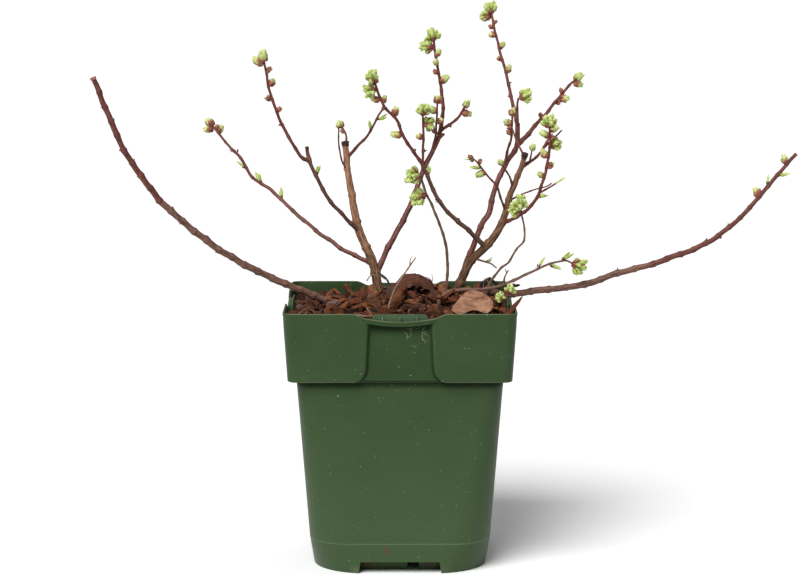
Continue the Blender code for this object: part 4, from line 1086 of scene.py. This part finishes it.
def bud_places():
    """(kind, root, direction, turn, size) of every bud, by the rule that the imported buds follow."""
    rng = random.Random(5)
    found = []
    for shoots in bush.nodes.values():
        for shoot in shoots:
            for place, row in enumerate(shoot.buds):
                if row == ".":
                    continue
                along = shoot.length - place * shoot.internode
                point, direction = shoot.at(along)
                right = Vector((0, 1, 0)).cross(direction).normalized()
                back = direction.cross(right)
                for order, bud in enumerate(row.split("+")):
                    lean, outward = direction, Vector((0, 0, 0))
                    root = point - direction * TIP_SUNK.get(bud[0], 0) * MM
                    if len(bud) > 1:
                        turn = math.radians(SIDES[bud[1]] + rng.uniform(-30, 30))
                        outward = right * math.cos(turn) + back * math.sin(turn)
                        tilt = math.radians(BUD_LEAN[bud[0]])
                        lean = direction * math.cos(tilt) + outward * math.sin(tilt)
                        root = point + outward * shoot.radius(along) * 0.5 - direction * order * 3.5 * MM
                    spin = rng.uniform(0, 2 * math.pi) if bud[0] == "O" else place * 2.4
                    found.append((bud[0], root, lean, spin, shoot.bud_size))
    return found


def pattern_drawer(name, patterns):
    """A collection with one object for each (label, bmesh), for a tree of nodes to pick from."""
    drawer = bpy.data.collections.new(name)
    for label, builder in patterns:
        mesh = bpy.data.meshes.new(name)
        builder.to_mesh(mesh)
        builder.free()
        drawer.objects.link(bpy.data.objects.new(label, mesh))
    return drawer


def clear_drawer(drawer):
    """Removes a collection of patterns that has been used."""
    for pattern in list(drawer.objects):
        bpy.data.objects.remove(pattern, do_unlink=True)
    bpy.data.collections.remove(drawer)


def set_buds(name, kinds, make_pattern, finish, seed):
    """One piece of every bud of these kinds, from a few patterns of each."""
    rng = random.Random(seed)
    drawer = pattern_drawer(name, (
        (f"{name}_{index:02}_{pattern}", make_pattern(kind, rng))
        for index, kind in enumerate(kinds) for pattern in range(PATTERNS)))
    chosen = [place for place in bud_places() if place[0] in kinds]
    spots = bpy.data.meshes.new(name)
    spots.from_pydata([root for _, root, *_ in chosen], [], [])
    picks = [kinds.index(kind) * PATTERNS + index % PATTERNS for index, (kind, *_) in enumerate(chosen)]
    sizes = [rng.uniform(0.88, 1.1) * (1.08 if kind == "O" else 0.96) * full for kind, *_, full in chosen]
    write_layer(spots, "aim", "FLOAT_VECTOR", [c for _, _, aim, *_ in chosen for c in aim])
    write_layer(spots, "spin", "FLOAT", [spin for *_, spin, _ in chosen])
    write_layer(spots, "size", "FLOAT", sizes)
    write_layer(spots, "pick", "INT", picks)
    piece = run_tree(name, spots, set_tree, Patterns=drawer, Finish=finish)
    clear_drawer(drawer)
    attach(piece, "root")


def bud_finish(name, first, second, crease_shade, points, roughness, **more):
    """A soft finish that wanders between two colours, with painted shade in its creases and at its root, and
    paler at its points.
    """
    finish, tree, shader = new_finish(name, roughness, **more)
    coords = object_coords(tree)
    patches = noise_on(tree, coords, Scale=380, Detail=4)
    colour = ramp(tree, patches, (0.38, first), (0.62, second))
    # Painted shade: darker in the creases and at the root.
    crease = layer_of(tree, "crease")
    colour = shade_over(tree, colour, (*crease_shade, 1), span(tree, crease, 0.1, 0.9, 0, 0.85))
    up = layer_of(tree, "up")
    colour = shade_over(tree, colour, (*points, 1), span(tree, up, 0.55, 0.95, 0, 0.7))
    tree.links.new(colour, shader.inputs["Base Color"])
    add_bump(tree, shader, patches, 0.4, 0.0003)
    return finish


scale_finish = bud_finish("bud_scale", (0.105, 0.024, 0.017), (0.27, 0.090, 0.050), (0.05, 0.013, 0.010),
                          (0.34, 0.17, 0.08), 0.5, Specular_IOR_Level=0.3)
scar_finish = bud_finish("dormant_bud", (0.05, 0.018, 0.014), (0.14, 0.050, 0.032), (0.03, 0.010, 0.008),
                         (0.16, 0.075, 0.045), 0.7, Specular_IOR_Level=0.2)
green_finish = bud_finish(
    "bud_green", (0.272, 0.374, 0.0723), (0.425, 0.5015, 0.1615), (0.136, 0.204, 0.0298),
    (0.493, 0.527, 0.2295), 0.5, Specular_IOR_Level=0.25)
tip_finish = bud_finish("bud_tip", (0.289, 0.357, 0.085), (0.442, 0.493, 0.187), (0.1445, 0.17, 0.0382),
                        (0.51, 0.527, 0.2465), 0.5, Specular_IOR_Level=0.25)
leaf_finish = bud_finish("young_leaf", (0.255, 0.357, 0.0638), (0.374, 0.459, 0.1275), (0.153, 0.204, 0.0425),
                         (0.442, 0.459, 0.17), 0.45, Specular_IOR_Level=0.25)
set_buds("bud_scales", "OFfb", scale_pattern, scale_finish, 21)
set_buds("dormant_buds", "slv", scale_pattern, scar_finish, 22)
set_buds("open_clusters", "O", green_pattern, green_finish, 23)
set_buds("bud_tips", "Ff", green_pattern, tip_finish, 24)
set_buds("young_leaves", "lv", leaf_pattern, leaf_finish, 25)

# The mulch: loose chips of pine bark, rust, umber, purple grey and a few tan ones, over a bed of crumbs.
# Nodes scatter the chips on the bed in a few patterns each, and they are pressed in by the pot's walls.
BARK_EDGE_LEVEL = 211 * MM
BARK_MOUND = 13 * MM
MOUND_CENTRE = (12 * MM, 5 * MM)
MOUND_SPREAD = (62 * MM, 52 * MM)
HOLLOW_DEPTH = 5 * MM
HOLLOW_CENTRE = (-62 * MM, 62 * MM)
HOLLOW_SPREAD = (34 * MM, 40 * MM)
BED_STEPS = 36
BED_SUNK = 4 * MM
CHIP_PATTERNS = 12
WALL_NEAR, WALL_AT = 84 * MM, 88 * MM


def bark_level(x, y):
    """The surface of the mulch, mounded round the two stools and hollow at the back left corner."""
    across = (x - MOUND_CENTRE[0]) / MOUND_SPREAD[0]
    back = (y - MOUND_CENTRE[1]) / MOUND_SPREAD[1]
    aside, behind = (
        (at - middle) / spread for at, middle, spread in zip((x, y), HOLLOW_CENTRE, HOLLOW_SPREAD))
    hollow = math.exp(-(aside**2) - behind**2)
    return BARK_EDGE_LEVEL + BARK_MOUND * math.exp(-across * across - back * back) - HOLLOW_DEPTH * hollow


def keep_in_pot(mesh):
    """Presses what would cross the pot's wall back inside it."""
    for vertex in mesh.vertices:
        x, y, z = vertex.co
        for mine, other in ((x, y), (y, x)):
            if abs(mine) > WALL_NEAR and abs(other) < DIP_HALF:
                top = POT_HEIGHT - rim_dip(other) - 1.2 * MM
                z = vertex.co.z = min(z, top + (WALL_AT - abs(mine)) * (abs(mine) < WALL_AT))
        half = pot_half(max(COLLAR_FOOT, min(POT_HEIGHT, z))) - WALL - 0.5 * MM
        for mine, other, axis in ((x, y, 0), (y, x, 1)):
            limit = half
            if abs(other) < DIP_HALF and z < POT_HEIGHT + 4 * MM:
                limit -= RECESS_DEPTH * min(1, (DIP_HALF - abs(other)) / (5 * MM))
            if abs(mine) > limit:
                vertex.co[axis] = math.copysign(limit, mine)
        corner = CORNER_AT_RIM - WALL
        over = Vector(
            (max(0, abs(vertex.co.x) - (half - corner)), max(0, abs(vertex.co.y) - (half - corner))))
        if over.length > corner and over.x and over.y:
            held = over.normalized() * corner
            vertex.co.x = math.copysign(half - corner + held.x, vertex.co.x)
            vertex.co.y = math.copysign(half - corner + held.y, vertex.co.y)


def bark_colour(name, dark, middle, light, streaked=True):
    """One kind of bark: fibres along each chip, dark in the cracks."""
    finish, tree, shader = new_finish(name, 0.85, Specular_IOR_Level=0.12)
    coords = object_coords(tree)
    if streaked:
        fibres = layer_of(tree, "fibre", "Vector")
        coords = node(
            tree, "ShaderNodeMapping", {"Vector": fibres, "Scale": (0.35, 1.9, 1.9)}).outputs["Vector"]
    flakes = noise_on(tree, coords, Scale=0.42 if streaked else 150, Detail=7, Roughness=0.72, Distortion=0.6)
    tone = layer_of(tree, "tone")
    mixed = calc(tree, "ADD", calc(tree, "MULTIPLY", tone, 0.48), calc(tree, "MULTIPLY", flakes, 0.72))
    tree.links.new(ramp(tree, mixed, (0.32, dark), (0.55, middle), (0.8, light)), shader.inputs["Base Color"])
    add_bump(tree, shader, flakes, 0.8, 0.0012)
    return finish


bed = bmesh.new()
bed_rings = []
outline = pot_ring(BARK_EDGE_LEVEL, 0, WALL + 0.4 * MM, RECESS_DEPTH)
for step in range(1, BED_STEPS + 1):
    ring = []
    for point in outline:
        x, y = point.x * step / BED_STEPS, point.y * step / BED_STEPS
        lumps = noise.fractal(Vector((x, y, 0.3)) * 130, 0.7, 2, 5) * 2.2 * MM
        ring.append(Vector((x, y, bark_level(x, y) - BED_SUNK + lumps)))
    bed_rings.append(ring)
bed_rings.append([Vector((p.x, p.y, MIX_TOP + 0.3 * MM)) for p in bed_rings[-1]])
loops = [[bed.verts.new(point) for point in ring] for ring in bed_rings]
middle_vertex = bed.verts.new((0, 0, bark_level(0, 0) - BED_SUNK))
for i in range(len(outline)):
    j = (i + 1) % len(outline)
    bed.faces.new((middle_vertex, loops[0][i], loops[0][j]))
    for inner, outer in zip(loops, loops[1:]):
        bed.faces.new((inner[i], outer[i], outer[j], inner[j]))
bed.faces.new(reversed(loops[-1]))
bmesh.ops.recalc_face_normals(bed, faces=bed.faces)
crumb_finish = bark_colour(
    "bark_crumbs", (0.005, 0.0025, 0.0015), (0.018, 0.008, 0.004), (0.060, 0.024, 0.012), False)
bark_bed = link_mesh(bed, "bark_bed", crumb_finish)
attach(bark_bed, "root")
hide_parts("bark_mulch")


def chip_pattern(rng, layers):
    """A broken slab of bark, in one to three flaky layers."""
    builder = bmesh.new()
    count = rng.choice((5, 6, 7))
    length, width = rng.uniform(13, 25), rng.uniform(6, 12)
    base = 0
    for layer in range(layers):
        thick = rng.uniform(1.3, 3.2) / (1 + 0.5 * layer)
        shrink = 1 - 0.18 * layer
        offset = Vector((rng.uniform(-1.5, 1.5), rng.uniform(-1, 1), 0)) * layer
        lower, upper = [], []
        for step in range(count):
            angle = 2 * math.pi * (step + rng.uniform(-0.3, 0.3)) / count
            reach = rng.uniform(0.6, 1.15) * shrink
            x, y = length / 2 * math.cos(angle) * reach, width / 2 * math.sin(angle) * reach
            lower.append(builder.verts.new((Vector((x, y, base + rng.uniform(-0.5, 0.3))) + offset) * MM))
            slope = rng.uniform(0.82, 1.0)
            top = Vector((x * slope, y * slope, base + thick + rng.uniform(-0.4, 0.5)))
            upper.append(builder.verts.new((top + offset) * MM))
        peak = Vector((rng.uniform(-2, 2), rng.uniform(-1, 1), base + thick + rng.uniform(-0.3, 0.4)))
        crown = builder.verts.new((peak + offset) * MM)
        for step in range(count):
            after = (step + 1) % count
            builder.faces.new((lower[step], lower[after], upper[after], upper[step]))
            builder.faces.new((upper[step], upper[after], crown))
        builder.faces.new(reversed(lower))
        base += thick * 0.8
    fibre = builder.verts.layers.float_vector.new("fibre")
    drift = Vector((rng.uniform(0, 50), rng.uniform(0, 50), rng.uniform(0, 50)))
    for vertex in builder.verts:
        vertex[fibre] = vertex.co / MM + drift
    return builder


def random_value(tree, kind, low, high, seed):
    """A random value for each element: vectors, numbers and whole numbers have sockets of their own."""
    first, output = {"FLOAT_VECTOR": (0, 0), "FLOAT": (2, 1), "INT": (4, 2)}[kind]
    values = {first: low, first + 1: high, "Seed": seed}
    return node(tree, "FunctionNodeRandomValue", values, data_type=kind).outputs[output]


scatter_tree, given, result = new_tree(
    "scatter_bark", Patterns="Collection", Spacing="Float", Smallest="Float", Largest="Float", Tilt="Float",
    Lift="Float", Seed="Int", Finish="Material")
facing_out = node(scatter_tree, "GeometryNodeInputNormal").outputs[0]
facing_up = node(scatter_tree, "ShaderNodeSeparateXYZ", {"Vector": facing_out}).outputs["Z"]
top_faces = node(
    scatter_tree, "FunctionNodeCompare", {0: facing_up, 1: 0.3}, data_type="FLOAT", operation="GREATER_THAN")
dots = node(scatter_tree, "GeometryNodeDistributePointsOnFaces", {
    "Mesh": given["Geometry"], "Selection": top_faces.outputs[0], "Distance Min": given["Spacing"],
    "Density Max": 60000.0, "Seed": given["Seed"]}, distribute_method="POISSON")
patterns = node(scatter_tree, "GeometryNodeCollectionInfo", {
    "Collection": given["Patterns"], "Separate Children": True, "Reset Children": True}).outputs[0]
less = calc(scatter_tree, "MULTIPLY", given["Tilt"], -1)
tilt_low = node(scatter_tree, "ShaderNodeCombineXYZ", {"X": less, "Y": less, "Z": -3.1416})
tilt_high = node(scatter_tree, "ShaderNodeCombineXYZ", {"X": given["Tilt"], "Y": given["Tilt"], "Z": 3.1416})
angles = random_value(scatter_tree, "FLOAT_VECTOR", tilt_low.outputs[0], tilt_high.outputs[0], given["Seed"])
turned = node(
    scatter_tree, "FunctionNodeRotateRotation",
    {
        "Rotation": dots.outputs["Rotation"],
        "Rotate By": node(scatter_tree, "FunctionNodeEulerToRotation", {0: angles}).outputs[0]},
    rotation_space="LOCAL")
next_seeds = [calc(scatter_tree, "ADD", given["Seed"], more) for more in (1, 2, 3)]
sizes = random_value(scatter_tree, "FLOAT", given["Smallest"], given["Largest"], next_seeds[0])
picks = random_value(scatter_tree, "INT", 0, CHIP_PATTERNS - 1, given["Seed"])
placed = node(scatter_tree, "GeometryNodeInstanceOnPoints", {
    "Points": dots.outputs["Points"], "Instance": patterns, "Pick Instance": True, "Instance Index": picks,
    "Rotation": turned.outputs[0], "Scale": sizes})
heights = random_value(scatter_tree, "FLOAT", -0.0012, given["Lift"], next_seeds[1])
lifted = node(
    scatter_tree, "GeometryNodeTranslateInstances",
    {
        "Instances": placed.outputs[0],
        "Translation": node(scatter_tree, "ShaderNodeCombineXYZ", {"Z": heights}).outputs[0],
        "Local Space": False})
tones = random_value(scatter_tree, "FLOAT", 0.0, 1.0, next_seeds[2])
toned = node(scatter_tree, "GeometryNodeStoreNamedAttribute", {
    "Geometry": lifted.outputs[0], "Name": "tone", "Value": tones}, data_type="FLOAT", domain="INSTANCE")
realized = node(scatter_tree, "GeometryNodeRealizeInstances", {"Geometry": toned.outputs[0]})
finished = node(
    scatter_tree, "GeometryNodeSetMaterial", {"Geometry": realized.outputs[0], "Material": given["Finish"]})
scatter_tree.links.new(finished.outputs[0], result["Geometry"])

# Each kind's name, spacing in millimetres, smallest and largest size, tilt, lift in millimetres, seed and
# its dark, middle and light colours.
CHIPS = (
    ("bark_chips_umber", 9, 0.5, 1.15, 0.7, 3.0, 1,
     ((0.0086, 0.0036, 0.0022), (0.0374, 0.0137, 0.0079), (0.0936, 0.0374, 0.0202))),
    ("bark_chips_rust", 10, 0.5, 1.3, 0.8, 5.0, 2,
     ((0.0173, 0.0058, 0.0029), (0.0864, 0.0259, 0.0108), (0.1872, 0.0706, 0.0317))),
    ("bark_chips_grey", 18, 0.5, 1.2, 0.6, 4.4, 3,
     ((0.0216, 0.0115, 0.0094), (0.0634, 0.0338, 0.0288), (0.1224, 0.0756, 0.0648))),
    ("bark_chips_tan", 27, 0.3, 0.95, 0.7, 4.6, 4,
     ((0.0504, 0.0216, 0.0094), (0.1368, 0.0612, 0.0274), (0.2304, 0.1296, 0.0648))),
    ("bark_bits", 5.2, 0.14, 0.34, 1.2, 3.6, 5,
     ((0.0144, 0.005, 0.0029), (0.088, 0.030, 0.0135), (0.215, 0.100, 0.050))),
)
for name, spacing, smallest, largest, tilt, lift, seed, colours in CHIPS:
    rng = random.Random(40 + seed)
    drawer = pattern_drawer(name, (
        (f"{name}_{index:02}", chip_pattern(rng, 1 if name == "bark_bits" else rng.choice((1, 2, 2, 3))))
        for index in range(CHIP_PATTERNS)))
    chips = run_tree(
        name, bark_bed.data.copy(), scatter_tree, Patterns=drawer, Spacing=spacing * MM, Smallest=smallest,
        Largest=largest, Tilt=tilt, Lift=lift * MM, Seed=seed, Finish=bark_colour(name, *colours))
    clear_drawer(drawer)
    keep_in_pot(chips.data)
    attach(chips, "root")

# The larger loose pieces: chunks of rust bark that stand up out of the mulch, a curled brown flake between
# the stools and a splinter that leans out over the right corner, each where it lies on the chips.
# Each chunk's place in millimetres, size, turn and tilt.
CHUNKS = (
    ((-7, 5, 225), 0.95, 0.4, 1.0), ((-2, 0, 223), 1.0, 0.9, 0.7), ((-47, 40, 221), 0.95, 0.5, 1.15),
    ((33, -40, 224), 0.75, 0.9, 0.5), ((41, -36, 226), 0.85, 2.3, 0.7), ((47, -43, 222), 0.7, 0.1, 0.4),
    ((44, -30, 226), 0.6, 1.7, 0.3), ((62, -44, 219), 1.0, 0.5, 0.3), ((84, -78, 216), 0.9, 0.7, 0.9),
    ((-76, -70, 213), 0.9, 2.2, 0.6))
chunk_rng = random.Random(71)
chunks = bmesh.new()
for place, size, turn, tilt in CHUNKS:
    one = chip_pattern(chunk_rng, 2)
    tone = one.verts.layers.float.new("tone")
    lightness = chunk_rng.uniform(0.3, 0.75)
    for vertex in one.verts:
        vertex[tone] = lightness
    bmesh.ops.transform(one, verts=one.verts, matrix=(
        Matrix.Translation(Vector(place) * MM) @ Matrix.Rotation(turn, 4, "Z") @ Matrix.Rotation(tilt, 4, "Y")
        @ Matrix.Scale(size, 4)))
    one_mesh = bpy.data.meshes.new("chunk")
    one.to_mesh(one_mesh)
    one.free()
    chunks.from_mesh(one_mesh)
    bpy.data.meshes.remove(one_mesh)
chunk_finish = bark_colour("bark_chunks", (0.035, 0.011, 0.006), (0.105, 0.033, 0.015), (0.21, 0.085, 0.042))
bark_chunks = link_mesh(chunks, "bark_chunks", chunk_finish)
keep_in_pot(bark_chunks.data)
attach(bark_chunks, "root")


def bent_sheet(name, rows, thick, lumps, finish):
    """A closed sheet through rows of points, of an even thickness, with small lumps."""
    builder = bmesh.new()
    fibre = builder.verts.layers.float_vector.new("fibre")
    tone = builder.verts.layers.float.new("tone")
    above, below = [], []
    for i, row in enumerate(rows):
        above.append([])
        below.append([])
        for j, point in enumerate(row):
            along = rows[min(i + 1, len(rows) - 1)][j] - rows[max(i - 1, 0)][j]
            across = row[min(j + 1, len(row) - 1)] - row[max(j - 1, 0)]
            out = along.cross(across).normalized()
            lump = out * noise.fractal(point * 220, 0.6, 2, 4) * lumps * MM
            edge = 0.35 if i in (0, len(rows) - 1) or j in (0, len(row) - 1) else 1
            above[-1].append(builder.verts.new(point + lump + out * thick * edge * MM / 2))
            below[-1].append(builder.verts.new(point + lump - out * thick * edge * MM / 2))
            for vertex in (above[-1][-1], below[-1][-1]):
                vertex[fibre] = Vector((i * 1.4, j * 1.4, 3.0 * len(rows)))
                vertex[tone] = 0.3
    for i in range(len(rows) - 1):
        for j in range(len(rows[0]) - 1):
            for side in (above, below):
                builder.faces.new((side[i][j], side[i + 1][j], side[i + 1][j + 1], side[i][j + 1]))
    count, width = len(rows), len(rows[0])
    rim = [(i, 0) for i in range(count)] + [(count - 1, j) for j in range(1, width)]
    rim += [
        (i, width - 1) for i in reversed(range(count - 1))] + [(0, j) for j in reversed(range(1, width - 1))]
    for (i, j), (k, m) in zip(rim, rim[1:] + rim[:1]):
        builder.faces.new((above[i][j], below[i][j], below[k][m], above[k][m]))
    bmesh.ops.recalc_face_normals(builder, faces=builder.faces)
    sheet = link_mesh(builder, name, finish)
    sheet.data.shade_smooth()
    sheet.data.set_sharp_from_angle(angle=math.radians(50))
    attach(sheet, "root")


crest_line = (
    (-6, 4, 228), (-3, 6, 231.5), (0, 7, 233), (3, 8, 236.5), (6, 8.5, 237.6), (9, 8.5, 237.2), (12, 9, 238),
    (15, 8, 236.4), (18, 8, 236), (21, 7, 233), (24, 6, 231.5), (27, 5, 228))
flake_rows = []
for step, (x, y, z) in enumerate(crest_line):
    fall = Vector(
        (
            2.5 + math.sin(step * 2.3), -12 - math.sin(step * 1.7),
            -10 + 0.3 * step + 1.4 * math.sin(step * 2.9)))
    bulge = Vector((0, -1.2, 2.6))
    flake_rows.append(
        [
            (Vector((x, y, z)) + fall * share / 8 + bulge * math.sin(math.pi * share / 8)) * MM
            for share in range(9)])
flake_finish = bark_colour("bark_flake", (0.008, 0.004, 0.003), (0.085, 0.033, 0.020), (0.21, 0.10, 0.065))
bent_sheet("bark_flake", flake_rows, 2.2, 2.4, flake_finish)
splinter = (
    ((84, -71, 214), 1.2), ((89, -70.5, 218), 1.6), ((92.5, -69.5, 222), 1.5), ((96, -68, 226), 1.0),
    ((99.5, -66, 230), 0.25))
splinter_rows = [
    [(Vector(point) + Vector((0.6 * side, -0.8 * side, 0)) * width) * MM for side in (-2, -1, 0, 1, 2)]
    for point, width in splinter]
bent_sheet("bark_splinter", splinter_rows, 1.4, 0.5, chunk_finish)

# What has blown in: one dried leaf, curled and pinkish tan, lying against the mulch at the right, two scraps
# of black leaf behind it, and pale straws and thin roots among the chips.
# The leaf's near and far edge at even steps from left to right, as shares of its depth.
LEAF_EDGES = (
    (0.14, 0.20), (0.05, 0.40), (0.01, 0.56), (0.0, 0.70), (0.02, 0.83), (0.09, 0.93), (0.15, 0.99),
    (0.19, 1.02), (0.20, 1.03), (0.17, 1.01), (0.11, 0.97), (0.05, 0.89), (0.05, 0.79), (0.13, 0.66),
    (0.30, 0.49))
leaf_rows = []
for step, (low, high) in enumerate(LEAF_EDGES):
    t = step / (len(LEAF_EDGES) - 1)
    row = []
    for share in range(11):
        v = low + (high - low) * share / 10
        curl = 1.6 * math.sin(2.2 * math.pi * t) * v + 0.9 * math.cos(5 * t + 3 * v)
        row.append(Vector((42 + 34 * t, -70 + 26 * v - curl, 216 + 15.5 * v + curl * 0.7)) * MM)
    leaf_rows.append(row)
dead_leaf, tree, shader = new_finish("dried_leaf", 0.75, Specular_IOR_Level=0.2)
coords = object_coords(tree)
streaks = node(
    tree, "ShaderNodeMapping", {"Vector": coords, "Rotation": (0, 0, 0.4), "Scale": (90, 260, 90)}
).outputs["Vector"]
veins = noise_on(tree, streaks, Scale=1, Detail=6, Roughness=0.6)
leaf_tan = ramp(
    tree, veins, (0.34, (0.115, 0.050, 0.029)), (0.5, (0.22, 0.107, 0.063)), (0.7, (0.32, 0.170, 0.107)))
specks = noise_on(tree, coords, Scale=700, Detail=2)
tree.links.new(
    shade_over(tree, leaf_tan, (0.07, 0.028, 0.017, 1), span(tree, specks, 0.60, 0.68, 0, 0.6)),
    shader.inputs["Base Color"])
add_bump(tree, shader, veins, 0.5, 0.0006)
bent_sheet("dried_leaf", leaf_rows, 0.7, 0.9, dead_leaf)
black_leaf = bark_colour("black_leaf", (0.004, 0.003, 0.003), (0.010, 0.008, 0.007), (0.045, 0.040, 0.038))
curl_rows = []
for step in range(9):
    turn = math.pi * (0.1 + 1.15 * step / 8)
    curl_rows.append(
        [
            Vector(
                (
                    75 - 8 * math.cos(turn) + 0.3 * share, 14 - 1.8 * share,
                    224 + 10 * math.sin(turn) - 0.7 * share)) * MM
            for share in range(6)])
bent_sheet("black_curl", curl_rows, 0.8, 1.4, black_leaf)
feather_rows = []
for step in range(9):
    width = (0.8 + 4 * math.sin(math.pi * step / 8)) * (1.3 if step % 2 else 0.7)
    middle_point = Vector((84 + 2.2 * step, 14 - 0.3 * step, 222.5 + 1.1 * step - 0.05 * step * step))
    feather_rows.append(
        [(middle_point + Vector((0.2, 0.9, 0.35)) * width * side / 2) * MM for side in (-2, -1, 0, 1, 2)])
bent_sheet("black_scrap", feather_rows, 0.7, 0.6, black_leaf)

# Each straw's foot in millimetres, its runs and its girth. More are strewn at random after these.
STRAWS = (
    ((-31, -80, 214), [(9, 22, -50), (7, 4, -35)], (0.9, 0.5)),
    ((-38, -82, 217), [(7, 2, -20), (8, -6, -8)], (1.5, 0.9)),
    ((-27, -76, 222), [(6, -20, -70), (5, -40, -40)], (0.8, 0.5)),
    ((70, 4, 223), [(9, 80, 60), (5, 30, 20)], (0.5, 0.3)),
    ((75, 3, 224), [(9, 75, 120), (5, 30, 160)], (0.6, 0.3)),
    ((79, 4, 225), [(7, 70, 140), (5, 10, 180)], (0.5, 0.3)),
    ((-84, -62, 214), [(8, 30, 40), (9, 5, 70), (6, -20, 100)], (0.6, 0.4)),
    ((-28, 3, 233), [(6, 48, 20), (7, 0, -10), (6, -30, -25)], (0.9, 0.8)),
)
straws = [Shoot([part * MM for part in place], runs, girth) for place, runs, girth in STRAWS]
straw_rng = random.Random(83)
for _ in range(14):
    x, y = straw_rng.uniform(-78, 78), straw_rng.uniform(-80, 60)
    heading = straw_rng.uniform(0, 360)
    runs = [
        (straw_rng.uniform(5, 11), straw_rng.uniform(-4, 18), heading + bend)
        for bend in (0, straw_rng.uniform(-50, 50))]
    girth = straw_rng.uniform(0.35, 0.6)
    straws.append(Shoot((x * MM, y * MM, bark_level(x * MM, y * MM) + 3.5 * MM), runs, (girth, girth * 0.7)))
straw_piece = draw_stems("straws", [straw.stations() for straw in straws], 10, 7, 0.1, 2.0, dry_bark)
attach(straw_piece, "root")
root_bark = bark_finish(
    "root_bark", (0.05, 0.03, 0.022), (0.018, 0.011, 0.009), (0.12, 0.09, 0.07), 1.5, roughness=0.8)
ROOTS = (
    ((-17, 8, 238), [(9, -24, -45), (8, -52, -58), (7, -72, -60)], (1.9, 1.4)),
    ((28, 34, 226), [(5, 60, 170), (4, 30, 200)], (0.7, 0.3)),
    ((27, 33, 226), [(6, 75, 60), (4, 40, 120)], (0.6, 0.3)),
)
roots = [Shoot([part * MM for part in place], runs, girth) for place, runs, girth in ROOTS]
root_piece = draw_stems("rootlets", [shoot.stations() for shoot in roots], 11, 8, 0.1, 2.0, root_bark)
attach(root_piece, "root")

# The cut ends: where old wood was cut back or died, it ends in a dark ragged knob, a pale cut face or a
# blackened tip. Each is a short swollen length drawn over the end of its limb.
cane_end = bush.nodes["cane_left_end"][0]
cane_tip, cane_way = cane_end.at(cane_end.length)
face_path = [
    (cane_tip + cane_way * along * MM, radius * MM) for along, radius in ((-1.6, 2.1), (-1, 2.7), (0.5, 2.8))]
cut_wood = bark_finish(
    "cut_wood", (0.42, 0.22, 0.15), (0.19, 0.080, 0.055), (0.5, 0.36, 0.26), 2, roughness=0.8)
face_piece = draw_stems("cut_face", [face_path], 13, 14, 0.3, 4.0, cut_wood)
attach(face_piece, "root")
# The knobs: each one's node, which of its shoots, its length in millimetres and how it swells.
KNOBS = (
    ("trunk_left", 0, 4.5, 1.02, 1.3), ("trunk_right", 0, 5, 1.02, 1.35),
    ("bough_centre", 1, 1.6, 1.04, 1.15), ("bough_left_mid", 1, 2, 1.04, 1.2),
    ("bough_right_tall", 1, 2, 1.04, 1.2), ("twigs_right_side", 1, 7, 1.2, 1.35))
knobs = []
for name, index, back, start, swell in KNOBS:
    shoot = bush.nodes[name][index]
    path_points = []
    for step in range(7):
        along = shoot.length - back * MM * (1 - step / 6)
        point, direction = shoot.at(along)
        ragged = start + (swell - start) * math.sin(
            math.pi * min(1, step / 5) / 2) + 0.12 * math.sin(step * 2.7)
        path_points.append((point, shoot.radius(along) * ragged))
    path_points.append((path_points[-1][0] + direction * 0.5 * MM, path_points[-1][1] * 0.5))
    knobs.append(path_points)
knob_bark = bark_finish(
    "cut_end_bark", (0.060, 0.030, 0.020), (0.014, 0.008, 0.006), (0.16, 0.10, 0.07), 3, roughness=0.85)
knob_piece = draw_stems("cut_ends", knobs, 12, 14, 0.5, 4.0, knob_bark)
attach(knob_piece, "root")
